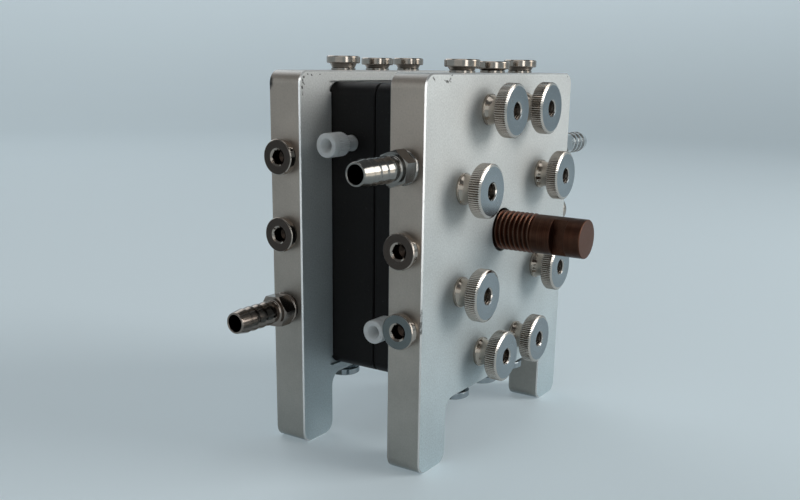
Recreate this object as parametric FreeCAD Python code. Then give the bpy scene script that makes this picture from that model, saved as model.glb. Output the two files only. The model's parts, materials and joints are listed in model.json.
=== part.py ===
import FreeCAD
import Part

import math
import os
from collections import namedtuple

from FreeCAD import Vector

# A flow electrochemistry cell.  Two upright end plates, each standing on its own
# pair of legs, clamp a two-part plastic cell body between them.  Eight long cap
# screws run from the rear plate to hand nuts on the front plate.  A threaded
# terminal passes through the middle of each plate to the current collector.
#
# Frame: origin on the table under the middle of the cell.  X runs along the
# plates, Y from the front plate to the rear plate, Z up.  Sizes in millimetres.

# End plates
PLATE_W = 120.0
PLATE_H = 146.4
PLATE_T = 14.6
PLATE_GAP = 40.0
LEG_W = 19.0
LEG_H = 24.9
PLATE_CORNER_R = 5.0
PLATE_CHAMFER = 0.5
RECESS_DEPTH = 1.5
RECESS_CLEARANCE = 0.45
RECESS_RELIEF_R = 2.1

# Cell body: two half cells with the membrane in the seam
BODY_W = 81.0
BODY_H = 113.0
BODY_CORNER_R = 5.0
BODY_CHAMFER = 0.4
MEMBRANE_T = 0.4
MEMBRANE_INSET = 1.0
CHAMBER_DEPTH = 4.0
CHAMBER_CORNER_R = 3.0
GASKET_T = 1.0
GASKET_RIM = 4.5
GASKET_CLEARANCE = 0.1
ROD_TO_GASKET = 4.0

# Electrode and current collector, stacked behind the chamber
ELECTRODE_T = 5.0
ELECTRODE_END_GAP = 10.0
COLLECTOR_T = 2.0
COLLECTOR_MARGIN = 1.5
STACK_CLEARANCE = 0.2

# Terminal: thread, turned shank with two flats, end collar; plain inside the plate
TERMINAL_THREAD_D = 15.7
TERMINAL_THREAD_OUT = 15.4
TERMINAL_THREAD_SINK = 0.5
TERMINAL_SHANK_D = 15.2
TERMINAL_OUT = 36.1
TERMINAL_FLATS_FROM = 23.6
TERMINAL_FLATS_LENGTH = 6.0
TERMINAL_ACROSS_FLATS = 6.5
TERMINAL_CHAMFER = 0.25
TERMINAL_TIP_CHAMFER = 1.0
TERMINAL_HOLE_D = 17.5
TERMINAL_SEAL_WIDTH = 2.0
TERMINAL_SEAL_DEPTH = 1.8

# Cap screws used as tie rods, with a washer under each head
ROD_D = 5.9
ROD_HOLE_D = 6.6
ROD_HEAD_D = 10.0
ROD_HEAD_H = 6.0
ROD_HEAD_CHAMFER = 0.5
ROD_SOCKET_AF = 5.0
ROD_SOCKET_DEPTH = 3.0
ROD_END_CHAMFER = 0.6
WASHER_D = 12.0
WASHER_T = 1.6
ROD_TO_BODY_SIDE = 8.0
ROD_TO_BODY_END = 9.0
INNER_ROD_Z = 19.5
OUTER_ROD_X = 15.0

# Hand nuts
NUT_H = 12.0
NUT_HEAD_D = 20.0
NUT_HEAD_H = 5.0
NUT_HEAD_CHAMFER = 0.5
NUT_FACE_CHAMFER_W = 1.1
NUT_FACE_CHAMFER_H = 0.6
NUT_KNURL_TEETH = 40
NUT_KNURL_DEPTH = 0.35
NUT_BASE_D = 11.8
NUT_BASE_H = 1.0
NUT_COLLAR_D = 11.2
NUT_WAIST_D = 9.9
NUT_HOLE_D = 6.0
NUT_HOLE_CHAMFER = 0.4
NUT_FACE_PLAY = 0.02
ROD_END_RECESS = 4.0

# Coolant ports in the edges of the plates
PORT_D = 9.8
PORT_DEPTH = 9.0
PORT_MOUTH_CHAMFER = 0.3
CHANNEL_D = 6.0
PORT_COLUMN_PITCH = 23.6
PORT_ROW_PITCH = 29.25
PORT_THREAD_CLEARANCE = 0.05
THREAD_CHAMFER = 0.6

# Neck shared by plugs and barbs; its foot is sunk in the port, with the seal ring round it
PORT_NECK_D = 8.4
PORT_NECK_SINK = 1.2
PORT_SEAL_T = 0.8

# Hex socket plugs; each row is screwed in by a slightly different amount
PLUG_FLANGE_D = 13.3
PLUG_FLANGE_T = 2.9
PLUG_FLANGE_CHAMFER = 0.3
PLUG_THREAD_LENGTH = 8.0
PLUG_SOCKET_AF = 5.0
PLUG_SOCKET_DEPTH = 4.2
PLUG_MOUTH_D = 7.0
PLUG_MOUTH_DEPTH = 0.8
FRONT_TOP_STANDOFFS = (4.9, 4.3, 5.1)
REAR_TOP_STANDOFFS = (5.5, 5.0, 5.2)
BOTTOM_STANDOFFS = {"front": 4.2, "rear": 4.9}
SIDE_STANDOFF = 4.7

# Hose barbs
BARB_STANDOFF = 1.9
BARB_COLLAR_D = 12.6
BARB_COLLAR_L = 1.1
BARB_COLLAR_CHAMFER = 0.4
BARB_HEX_AF = 11.6
BARB_HEX_L = 6.0
BARB_HEX_TURNS = {"front": -10.0, "rear": -25.0}
BARB_SPOUT_D = 8.0
BARB_SPOUT_L = 3.6
BARB_RIDGE_D = 9.5
BARB_RIDGE_FOOT_D = 8.5
BARB_RIDGE_L = 4.2
BARB_RIDGES = 3
BARB_TIP_D = 8.0
BARB_TIP_L = 4.9
BARB_BORE_D = 6.4
BARB_THREAD_LENGTH = 7.0

# Finger-tight tube fittings and their ferrules, in the edges of the half cells
FITTING_FROM_CHAMBER_END = 5.0
FITTING_THREAD_D = 6.35
FITTING_NECK_D = 6.0
FITTING_HEAD_D = 9.1
FITTING_HEAD_L = 9.6
FITTING_BAND_L = 3.0
FITTING_NECK_OUT = 6.2
FITTING_THREAD_IN = 5.9
FITTING_RIBS = 32
FITTING_RIB_DEPTH = 0.25
FITTING_MOUTH_D = 5.2
FITTING_MOUTH_DEPTH = 3.0
FITTING_EDGE_CHAMFER = 0.3
FITTING_BORE_D = 3.6
FERRULE_BORE_D = 3.2
FERRULE_BASE_D = 5.6
FERRULE_BASE_L = 1.2
FERRULE_TIP_D = 4.4
FERRULE_L = 3.0
FERRULE_PLAY = 0.1
TUBE_PORT_CLEARANCE = 0.05
FLOW_CHANNEL_D = 2.4
FLOW_CHANNEL_INSET = 4.0

# Places worked out from the sizes above
CORE_Z = (LEG_H + PLATE_H) / 2
INNER_ROD_X = BODY_W / 2 - ROD_TO_BODY_SIDE
OUTER_ROD_Z = BODY_H / 2 - ROD_TO_BODY_END
GASKET_W = 2 * (INNER_ROD_X - ROD_TO_GASKET)
GASKET_H = 2 * (OUTER_ROD_Z - ROD_TO_GASKET)
CHAMBER_W = GASKET_W - 2 * GASKET_RIM
CHAMBER_H = GASKET_H - 2 * GASKET_RIM
ELECTRODE_H = CHAMBER_H - 2 * ELECTRODE_END_GAP
FITTING_OFFSET_Z = CHAMBER_H / 2 - FITTING_FROM_CHAMBER_END
PLATE_INNER_Y = PLATE_GAP / 2
PLATE_OUTER_Y = PLATE_INNER_Y + PLATE_T
PLATE_MID_Y = PLATE_INNER_Y + PLATE_T / 2
SEAM_Y = MEMBRANE_T / 2
BODY_OUTER_Y = PLATE_INNER_Y + RECESS_DEPTH
GASKET_FLOOR_Y = SEAM_Y + GASKET_T
CHAMBER_FLOOR_Y = GASKET_FLOOR_Y + CHAMBER_DEPTH
ELECTRODE_BACK_Y = CHAMBER_FLOOR_Y + ELECTRODE_T
COLLECTOR_BACK_Y = ELECTRODE_BACK_Y + COLLECTOR_T
TUBE_PORT_Y = (SEAM_Y + BODY_OUTER_Y) / 2
TUBE_PORT_DEPTH = FITTING_THREAD_IN + FERRULE_PLAY + FERRULE_L

HEX_SIDES = 6
FLAT_TOLERANCE = 1e-6

FRONT = -1
REAR = 1
LEFT = -1
RIGHT = 1

Port = namedtuple("Port", "plate edge number start direction reach")


def prism(corners, y_from, y_to):
    """Straight prism along Y from (x, z) corners."""
    points = [Vector(x, y_from, z) for x, z in corners]
    face = Part.Face(Part.makePolygon(points + points[:1]))
    return face.extrude(Vector(0, y_to - y_from, 0))


def block(width, height, y_from, y_to, corner_r=0.0):
    """Rectangular block centred on the core axis, with its Y edges rounded."""
    half_w = width / 2
    half_h = height / 2
    corners = [(-half_w, CORE_Z - half_h), (half_w, CORE_Z - half_h),
               (half_w, CORE_Z + half_h), (-half_w, CORE_Z + half_h)]
    solid = prism(corners, y_from, y_to)
    if corner_r > 0:
        solid = solid.makeFillet(corner_r, edges_along_y(solid))
    return solid


def edges_along_y(solid):
    return [e for e in solid.Edges
            if max(e.BoundBox.XLength, e.BoundBox.ZLength) < FLAT_TOLERANCE]


def edges_across_y(solid):
    return [e for e in solid.Edges if e.BoundBox.YLength < FLAT_TOLERANCE]


def turned(profile):
    """Solid of revolution about Z from (radius, height) corners."""
    corners = [Vector(radius, 0, height) for radius, height in profile]
    return turned_wire(Part.makePolygon(corners + corners[:1]))


def turned_wire(wire):
    solid = Part.Face(wire).revolve(Vector(0, 0, 0), Vector(0, 0, 1), 360)
    if solid.Volume < 0:
        solid.reverse()
    return solid


def fluted_prism(outer_r, root_r, teeth, length):
    """Star-shaped prism along Z, for a straight knurl."""
    corners = []
    for step in range(2 * teeth):
        radius = outer_r if step % 2 == 0 else root_r
        angle = math.pi * step / teeth
        corners.append(Vector(radius * math.cos(angle), radius * math.sin(angle), 0))
    return Part.Face(Part.makePolygon(corners + corners[:1])).extrude(Vector(0, 0, length))


def hexagon_corner_r(across_flats):
    return across_flats / 2 / math.cos(math.pi / HEX_SIDES)


def hexagon(across_flats, z_from, z_to):
    """Hexagonal prism along Z."""
    corner_r = hexagon_corner_r(across_flats)
    corners = []
    for step in range(HEX_SIDES):
        angle = 2 * math.pi * step / HEX_SIDES
        corners.append(Vector(corner_r * math.cos(angle), corner_r * math.sin(angle), z_from))
    face = Part.Face(Part.makePolygon(corners + corners[:1]))
    return face.extrude(Vector(0, 0, z_to - z_from))


def along(shape, start, direction):
    """Move a shape made along +Z so that it stands at start and points in direction."""
    turn = FreeCAD.Rotation(Vector(0, 0, 1), direction)
    placed = shape.copy()
    placed.Placement = FreeCAD.Placement(start, turn)
    return placed


def hole(diameter, start, direction, length):
    return Part.makeCylinder(diameter / 2, length, start, direction)


def rod_places():
    """X and Z of the eight tie rods, top row to bottom row."""
    rows = [(OUTER_ROD_X, OUTER_ROD_Z), (INNER_ROD_X, INNER_ROD_Z),
            (INNER_ROD_X, -INNER_ROD_Z), (OUTER_ROD_X, -OUTER_ROD_Z)]
    return [(hand * x, CORE_Z + z) for x, z in rows for hand in (LEFT, RIGHT)]


def rod_holes(y_from, y_to):
    start_y = min(y_from, y_to)
    length = abs(y_to - y_from)
    return [hole(ROD_HOLE_D, Vector(x, start_y, z), Vector(0, 1, 0), length)
            for x, z in rod_places()]


def plate_ports(side):
    """Every coolant port of one plate, with the reach of the channel behind it."""
    plate = "front" if side == FRONT else "rear"
    y = side * PLATE_MID_Y
    ports = []
    for number, column in enumerate((-1, 0, 1), start=1):
        x = column * PORT_COLUMN_PITCH
        reach = (PLATE_H - LEG_H) / 2 if column else (PLATE_H - LEG_H) / 2 - PORT_ROW_PITCH
        ports.append(Port(plate, "top", number, Vector(x, y, PLATE_H), Vector(0, 0, 1), reach))
        ports.append(Port(plate, "bottom", number, Vector(x, y, LEG_H), Vector(0, 0, -1), reach))
    for number, row in enumerate((1, 0, -1), start=1):
        z = CORE_Z + row * PORT_ROW_PITCH
        reach = PLATE_W / 2 if row else PLATE_W / 2 - PORT_COLUMN_PITCH
        for edge, hand in (("left", LEFT), ("right", RIGHT)):
            start = Vector(hand * PLATE_W / 2, y, z)
            ports.append(Port(plate, edge, number, start, Vector(hand, 0, 0), reach))
    return ports


def port_cutters(port):
    inward = port.direction * -1
    mouth_r = PORT_D / 2 + PORT_MOUTH_CHAMFER
    mouth = Part.makeCone(mouth_r, PORT_D / 2, PORT_MOUTH_CHAMFER, port.start, inward)
    return [mouth, hole(PORT_D, port.start, inward, PORT_DEPTH),
            hole(CHANNEL_D, port.start, inward, port.reach)]


def has_barb(port):
    """The upper side ports of the front plate and the lower ones of the rear plate."""
    barb_row = 1 if port.plate == "front" else 3
    return port.edge in ("left", "right") and port.number == barb_row


def end_plate(side):
    """Plate with two legs, a recess for the cell body and drilled coolant channels."""
    half_w = PLATE_W / 2
    arch_w = half_w - LEG_W
    outline = [(-half_w, 0), (-half_w, PLATE_H), (half_w, PLATE_H), (half_w, 0),
               (arch_w, 0), (arch_w, LEG_H), (-arch_w, LEG_H), (-arch_w, 0)]
    plate = prism(outline, side * PLATE_INNER_Y, side * PLATE_OUTER_Y)
    plate = plate.makeFillet(PLATE_CORNER_R, edges_along_y(plate))
    plate = plate.makeChamfer(PLATE_CHAMFER, edges_across_y(plate))

    cutters = body_recess(side)
    cutters += rod_holes(side * PLATE_INNER_Y, side * PLATE_OUTER_Y)
    cutters.append(hole(TERMINAL_HOLE_D, Vector(0, side * PLATE_INNER_Y, CORE_Z),
                        Vector(0, side, 0), PLATE_T))
    for port in plate_ports(side):
        cutters += port_cutters(port)
    return plate.cut(cutters)


def body_recess(side):
    """Shallow pocket with a round relief at each corner, so the body seats square."""
    width = BODY_W + 2 * RECESS_CLEARANCE
    height = BODY_H + 2 * RECESS_CLEARANCE
    floor_y = side * BODY_OUTER_Y
    pocket = block(width, height, side * PLATE_INNER_Y, floor_y)
    reliefs = []
    for hand in (LEFT, RIGHT):
        for way in (-1, 1):
            z = CORE_Z + way * (height / 2 - RECESS_RELIEF_R)
            start = Vector(hand * width / 2, side * PLATE_INNER_Y, z)
            reliefs.append(hole(2 * RECESS_RELIEF_R, start, Vector(0, side, 0), RECESS_DEPTH))
    return [pocket] + reliefs


def half_cell(side):
    """Plastic half of the body, stepped down from the seam to the terminal thread."""
    body = block(BODY_W, BODY_H, side * SEAM_Y, side * BODY_OUTER_Y, BODY_CORNER_R)
    body = body.makeChamfer(BODY_CHAMFER, edges_across_y(body))

    rebate_w = GASKET_W + 2 * GASKET_CLEARANCE
    rebate_h = GASKET_H + 2 * GASKET_CLEARANCE
    rebate_r = CHAMBER_CORNER_R + GASKET_RIM + GASKET_CLEARANCE
    collector_w, collector_h = collector_size()
    cutters = [
        block(rebate_w, rebate_h, side * SEAM_Y, side * GASKET_FLOOR_Y, rebate_r),
        block(CHAMBER_W, CHAMBER_H, side * GASKET_FLOOR_Y, side * CHAMBER_FLOOR_Y,
              CHAMBER_CORNER_R),
        block(CHAMBER_W, ELECTRODE_H + 2 * STACK_CLEARANCE,
              side * CHAMBER_FLOOR_Y, side * ELECTRODE_BACK_Y),
        block(collector_w + 2 * STACK_CLEARANCE, collector_h + 2 * STACK_CLEARANCE,
              side * ELECTRODE_BACK_Y, side * COLLECTOR_BACK_Y),
    ]
    cutters += terminal_cutters(side)
    cutters += rod_holes(side * SEAM_Y, side * BODY_OUTER_Y)
    for hand in (LEFT, RIGHT):
        cutters += tube_port_cutters(side, hand)
    return body.cut(cutters)


def collector_size():
    width = CHAMBER_W - 2 * STACK_CLEARANCE - 2 * COLLECTOR_MARGIN
    return width, ELECTRODE_H - 2 * COLLECTOR_MARGIN


def terminal_cutters(side):
    """Threaded hole for the terminal and the seat of its seal ring."""
    bore_d = TERMINAL_THREAD_D + 2 * PORT_THREAD_CLEARANCE
    seat_d = bore_d + 2 * TERMINAL_SEAL_WIDTH
    outward = Vector(0, side, 0)
    bore = hole(bore_d, Vector(0, side * COLLECTOR_BACK_Y, CORE_Z), outward,
                BODY_OUTER_Y - COLLECTOR_BACK_Y)
    seat = hole(seat_d, Vector(0, side * (BODY_OUTER_Y - TERMINAL_SEAL_DEPTH), CORE_Z), outward,
                TERMINAL_SEAL_DEPTH)
    return [bore, seat]


def tube_port_z(side, hand):
    """The flow crosses each half cell diagonally; the two halves mirror each other."""
    return CORE_Z - side * hand * FITTING_OFFSET_Z


def tube_port_mouth(side, hand):
    return Vector(hand * BODY_W / 2, side * TUBE_PORT_Y, tube_port_z(side, hand))


def tube_port_cutters(side, hand):
    """Threaded port, flow channel behind it, and the drop into the chamber."""
    mouth = tube_port_mouth(side, hand)
    inward = Vector(-hand, 0, 0)
    port_d = FITTING_THREAD_D + 2 * TUBE_PORT_CLEARANCE
    drop_x = CHAMBER_W / 2 - FLOW_CHANNEL_INSET
    drop_start = Vector(hand * drop_x, side * GASKET_FLOOR_Y, mouth.z)
    return [
        hole(port_d, mouth, inward, TUBE_PORT_DEPTH),
        hole(FLOW_CHANNEL_D, mouth, inward, BODY_W / 2 - drop_x),
        hole(FLOW_CHANNEL_D, drop_start, Vector(0, side, 0), TUBE_PORT_Y - GASKET_FLOOR_Y),
    ]


def membrane():
    """Separator sheet that fills the seam, held back from the edge of the body."""
    sheet = block(BODY_W - 2 * MEMBRANE_INSET, BODY_H - 2 * MEMBRANE_INSET,
                  -SEAM_Y, SEAM_Y, BODY_CORNER_R - MEMBRANE_INSET)
    return sheet.cut(rod_holes(-SEAM_Y, SEAM_Y))


def gasket(side):
    rim_r = CHAMBER_CORNER_R + GASKET_RIM
    frame = block(GASKET_W, GASKET_H, side * SEAM_Y, side * GASKET_FLOOR_Y, rim_r)
    window = block(CHAMBER_W, CHAMBER_H, side * SEAM_Y, side * GASKET_FLOOR_Y, CHAMBER_CORNER_R)
    return frame.cut(window)


def electrode(side):
    return block(CHAMBER_W - 2 * STACK_CLEARANCE, ELECTRODE_H,
                 side * CHAMBER_FLOOR_Y, side * ELECTRODE_BACK_Y)


def current_collector(side):
    width, height = collector_size()
    return block(width, height, side * ELECTRODE_BACK_Y, side * COLLECTOR_BACK_Y)


def terminal(side):
    """Bar threaded in the body and outside the plate, from the collector outwards."""
    body_z = BODY_OUTER_Y - COLLECTOR_BACK_Y
    face_z = PLATE_OUTER_Y - COLLECTOR_BACK_Y
    thread_from = face_z - TERMINAL_THREAD_SINK
    thread_end = face_z + TERMINAL_THREAD_OUT
    end = face_z + TERMINAL_OUT
    thread_r = TERMINAL_THREAD_D / 2
    shank_r = TERMINAL_SHANK_D / 2
    bar = turned([
        (0, 0), (thread_r - TERMINAL_TIP_CHAMFER, 0), (thread_r, TERMINAL_TIP_CHAMFER),
        (thread_r, body_z), (shank_r, body_z), (shank_r, thread_from), (thread_r, thread_from),
        (thread_r, thread_end - (thread_r - shank_r)), (shank_r, thread_end),
        (shank_r, end - TERMINAL_CHAMFER), (shank_r - TERMINAL_CHAMFER, end), (0, end)])
    flats = [Part.makeBox(thread_r, TERMINAL_THREAD_D, TERMINAL_FLATS_LENGTH,
                          Vector(TERMINAL_ACROSS_FLATS / 2, -thread_r,
                                 face_z + TERMINAL_FLATS_FROM))]
    flats.append(flats[0].rotated(Vector(0, 0, 0), Vector(0, 0, 1), 180))
    bar = bar.cut(flats)
    return along(bar, Vector(0, side * COLLECTOR_BACK_Y, CORE_Z), Vector(0, side, 0))


def terminal_seal(side):
    inner_r = TERMINAL_THREAD_D / 2 + PORT_THREAD_CLEARANCE
    ring = ring_of(inner_r, inner_r + TERMINAL_SEAL_WIDTH, TERMINAL_SEAL_DEPTH)
    start = Vector(0, side * (BODY_OUTER_Y - TERMINAL_SEAL_DEPTH), CORE_Z)
    return along(ring, start, Vector(0, side, 0))


def ring_of(inner_r, outer_r, length):
    return turned([(inner_r, 0), (outer_r, 0), (outer_r, length), (inner_r, length)])


def tie_rod():
    """Cap screw along Z: bearing face of the head at 0, thread towards +Z."""
    reach = WASHER_T + 2 * PLATE_OUTER_Y + NUT_FACE_PLAY + NUT_H - ROD_END_RECESS
    head_r = ROD_HEAD_D / 2
    rod_r = ROD_D / 2
    screw = turned([
        (0, -ROD_HEAD_H), (head_r - ROD_HEAD_CHAMFER, -ROD_HEAD_H),
        (head_r, ROD_HEAD_CHAMFER - ROD_HEAD_H), (head_r, 0), (rod_r, 0),
        (rod_r, reach - ROD_END_CHAMFER), (rod_r - ROD_END_CHAMFER, reach), (0, reach)])
    return screw.cut(hexagon(ROD_SOCKET_AF, -ROD_HEAD_H, ROD_SOCKET_DEPTH - ROD_HEAD_H))


def rod_heads():
    """Where each rod's head bears, on its washer behind the rear plate."""
    return [Vector(x, PLATE_OUTER_Y + WASHER_T, z) for x, z in rod_places()]


def tie_rods():
    screw = tie_rod()
    return [along(screw, start, Vector(0, -1, 0)) for start in rod_heads()]


def rod_washers():
    washer = ring_of(ROD_HOLE_D / 2, WASHER_D / 2, WASHER_T)
    return [along(washer, start, Vector(0, -1, 0)) for start in rod_heads()]


def thumb_nut():
    """Round hand nut: base ring, waisted neck, straight-knurled head."""
    hole_r = NUT_HOLE_D / 2
    base_r = NUT_BASE_D / 2
    collar_r = NUT_COLLAR_D / 2
    waist_r = NUT_WAIST_D / 2
    core_r = NUT_HEAD_D / 2 - NUT_KNURL_DEPTH
    head_z = NUT_H - NUT_HEAD_H
    lip_r = hole_r + NUT_HOLE_CHAMFER
    corners = [(lip_r, 0), (base_r, 0), (base_r, NUT_BASE_H), (collar_r, NUT_BASE_H)]
    after_neck = [(collar_r, head_z), (core_r - NUT_HEAD_CHAMFER, head_z),
                  (core_r, head_z + NUT_HEAD_CHAMFER), (core_r, NUT_H - NUT_FACE_CHAMFER_H),
                  (core_r - NUT_FACE_CHAMFER_W, NUT_H), (lip_r, NUT_H),
                  (hole_r, NUT_H - NUT_HOLE_CHAMFER), (hole_r, NUT_HOLE_CHAMFER), (lip_r, 0)]
    start = [Vector(r, 0, z) for r, z in corners]
    rest = [Vector(r, 0, z) for r, z in after_neck]
    waist = Part.Arc(start[-1], Vector(waist_r, 0, (NUT_BASE_H + head_z) / 2), rest[0])
    edges = Part.makePolygon(start).Edges + [waist.toShape()] + Part.makePolygon(rest).Edges
    body = turned_wire(Part.Wire(edges))

    knurl = fluted_prism(NUT_HEAD_D / 2, core_r, NUT_KNURL_TEETH,
                         NUT_HEAD_H - NUT_HEAD_CHAMFER - NUT_FACE_CHAMFER_H)
    knurl.translate(Vector(0, 0, head_z + NUT_HEAD_CHAMFER))
    knurl = knurl.cut(Part.makeCylinder(core_r - NUT_KNURL_DEPTH, NUT_H))
    return body.fuse(knurl).removeSplitter()


def port_plug(standoff):
    """Hex socket plug whose face stands standoff above z = 0; the thread goes down."""
    flange_r = PLUG_FLANGE_D / 2
    neck_r = PORT_NECK_D / 2
    thread_r = PORT_D / 2 - PORT_THREAD_CLEARANCE
    flange_low = standoff - PLUG_FLANGE_T
    tip = flange_low - PLUG_THREAD_LENGTH
    edge = PLUG_FLANGE_CHAMFER
    blank = turned([
        (0, tip), (thread_r - THREAD_CHAMFER, tip), (thread_r, tip + THREAD_CHAMFER),
        (thread_r, -PORT_NECK_SINK), (neck_r, -PORT_NECK_SINK), (neck_r, flange_low),
        (flange_r - edge, flange_low), (flange_r, flange_low + edge),
        (flange_r, standoff - edge), (flange_r - edge, standoff), (0, standoff)])
    socket = hexagon(PLUG_SOCKET_AF, standoff - PLUG_SOCKET_DEPTH, standoff)
    mouth = Part.makeCone(PLUG_SOCKET_AF / 2, PLUG_MOUTH_D / 2, PLUG_MOUTH_DEPTH,
                          Vector(0, 0, standoff - PLUG_MOUTH_DEPTH))
    return blank.cut([socket, mouth])


def standoff_of(port):
    if port.edge == "top":
        row = FRONT_TOP_STANDOFFS if port.plate == "front" else REAR_TOP_STANDOFFS
        return row[port.number - 1]
    if port.edge == "bottom":
        return BOTTOM_STANDOFFS[port.plate]
    return SIDE_STANDOFF


def port_seal():
    """Thin ring round the sunk foot of a neck, on the shoulder of its thread."""
    ring = ring_of(PORT_NECK_D / 2, PORT_D / 2 - PORT_THREAD_CLEARANCE, PORT_SEAL_T)
    return ring.translated(Vector(0, 0, -PORT_NECK_SINK))


def hose_barb(hex_turn):
    """Barbed hose connector in a port with its mouth at z = 0, the thread below."""
    thread_r = PORT_D / 2 - PORT_THREAD_CLEARANCE
    bore_r = BARB_BORE_D / 2
    neck_r = PORT_NECK_D / 2
    collar_r = BARB_COLLAR_D / 2
    spout_r = BARB_SPOUT_D / 2
    edge = BARB_COLLAR_CHAMFER
    hex_from = BARB_STANDOFF + BARB_COLLAR_L
    hex_to = hex_from + BARB_HEX_L
    profile = [
        (bore_r, -BARB_THREAD_LENGTH), (thread_r - THREAD_CHAMFER, -BARB_THREAD_LENGTH),
        (thread_r, THREAD_CHAMFER - BARB_THREAD_LENGTH), (thread_r, -PORT_NECK_SINK),
        (neck_r, -PORT_NECK_SINK), (neck_r, BARB_STANDOFF), (collar_r, BARB_STANDOFF),
        (collar_r, hex_from - edge), (collar_r - edge, hex_from), (spout_r, hex_from),
        (spout_r, hex_to + BARB_SPOUT_L)]
    z = hex_to + BARB_SPOUT_L
    for _ in range(BARB_RIDGES):
        profile += [(BARB_RIDGE_D / 2, z), (BARB_RIDGE_FOOT_D / 2, z + BARB_RIDGE_L)]
        z += BARB_RIDGE_L
    profile += [(BARB_RIDGE_D / 2, z), (BARB_TIP_D / 2, z + BARB_TIP_L),
                (bore_r, z + BARB_TIP_L)]
    spout = turned(profile)

    flat_r = BARB_HEX_AF / 2
    corner_r = hexagon_corner_r(BARB_HEX_AF)
    crown_h = (corner_r - flat_r) / 2
    crown = turned([(0, hex_from), (flat_r, hex_from), (corner_r, hex_from + crown_h),
                    (corner_r, hex_to - crown_h), (flat_r, hex_to), (0, hex_to)])
    hex_nut = hexagon(BARB_HEX_AF, hex_from, hex_to).common(crown)
    hex_nut = hex_nut.cut(Part.makeCylinder(bore_r, hex_to))
    barb = spout.fuse(hex_nut).removeSplitter()
    return barb.rotated(Vector(0, 0, 0), Vector(0, 0, 1), hex_turn)


def tube_fitting():
    """Finger-tight nut standing on z = 0, the mouth of its port; thread below."""
    thread_r = FITTING_THREAD_D / 2
    neck_r = FITTING_NECK_D / 2
    head_r = FITTING_HEAD_D / 2
    rib_r = head_r - FITTING_RIB_DEPTH
    bore_r = FITTING_BORE_D / 2
    head_from = FITTING_NECK_OUT
    band_from = head_from + FITTING_HEAD_L - FITTING_BAND_L
    face = head_from + FITTING_HEAD_L
    edge = FITTING_EDGE_CHAMFER
    body = turned([
        (bore_r, -FITTING_THREAD_IN), (thread_r - edge, -FITTING_THREAD_IN),
        (thread_r, edge - FITTING_THREAD_IN), (thread_r, -edge), (neck_r, 0),
        (neck_r, head_from), (rib_r - edge, head_from), (rib_r, head_from + edge),
        (rib_r, band_from), (head_r, band_from), (head_r, face - edge), (head_r - edge, face),
        (FITTING_MOUTH_D / 2, face), (bore_r, face - FITTING_MOUTH_DEPTH)])
    ribs = fluted_prism(head_r, rib_r, FITTING_RIBS, band_from - head_from - edge)
    ribs.translate(Vector(0, 0, head_from + edge))
    ribs = ribs.cut(Part.makeCylinder(rib_r - FITTING_RIB_DEPTH, face))
    return body.fuse(ribs).removeSplitter()


def ferrule():
    """Coned sealing ring on the floor of a tube port."""
    bore_r = FERRULE_BORE_D / 2
    base_r = FERRULE_BASE_D / 2
    return turned([(bore_r, 0), (base_r, 0), (base_r, FERRULE_BASE_L),
                   (FERRULE_TIP_D / 2, FERRULE_L), (bore_r, FERRULE_L)])


def side_names():
    return (("front", FRONT), ("rear", REAR))


def hand_names():
    return (("left", LEFT), ("right", RIGHT))


def build_nodes():
    """Every sub-part by name, as a list of separate solids."""
    nodes = {"membrane": [membrane()], "tie_rods": tie_rods(), "rod_washers": rod_washers()}
    for name, side in side_names():
        nodes[name + "_end_plate"] = [end_plate(side)]
        nodes[name + "_half_cell"] = [half_cell(side)]
        nodes[name + "_gasket"] = [gasket(side)]
        nodes[name + "_electrode"] = [electrode(side)]
        nodes[name + "_current_collector"] = [current_collector(side)]
        nodes[name + "_terminal"] = [terminal(side)]
        nodes[name + "_terminal_seal"] = [terminal_seal(side)]

    nut = thumb_nut()
    for number, (x, z) in enumerate(rod_places(), start=1):
        start = Vector(x, -PLATE_OUTER_Y - NUT_FACE_PLAY, z)
        nodes["thumb_nut_%d" % number] = [along(nut, start, Vector(0, -1, 0))]

    seal = port_seal()
    for name, side in side_names():
        barb = hose_barb(BARB_HEX_TURNS[name])
        seals = []
        plug_number = {"left": 0, "right": 0, "top": 0, "bottom": 0}
        for port in plate_ports(side):
            seals.append(along(seal, port.start, port.direction))
            if has_barb(port):
                nodes["%s_%s_hose_barb" % (name, port.edge)] = [
                    along(barb, port.start, port.direction)]
                continue
            plug_number[port.edge] += 1
            plug = along(port_plug(standoff_of(port)), port.start, port.direction)
            nodes["%s_%s_plug_%d" % (name, port.edge, plug_number[port.edge])] = [plug]
        nodes[name + "_port_seals"] = seals

    fitting = tube_fitting()
    cone = ferrule()
    for name, side in side_names():
        for hand_name, hand in hand_names():
            outward = Vector(hand, 0, 0)
            mouth = tube_port_mouth(side, hand)
            label = "%s_%s" % (name, hand_name)
            nodes[label + "_tube_fitting"] = [along(fitting, mouth, outward)]
            nodes[label + "_ferrule"] = [along(cone, mouth - outward * TUBE_PORT_DEPTH, outward)]
    return nodes


def main():
    os.makedirs("parts", exist_ok=True)
    for name, solids in build_nodes().items():
        shape = solids[0] if len(solids) == 1 else Part.makeCompound(solids)
        shape.exportStep("parts/%s.step" % name)


main()
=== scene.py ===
"""Finished look of a clamped flow electrochemistry cell, built round its measured frame."""

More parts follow.
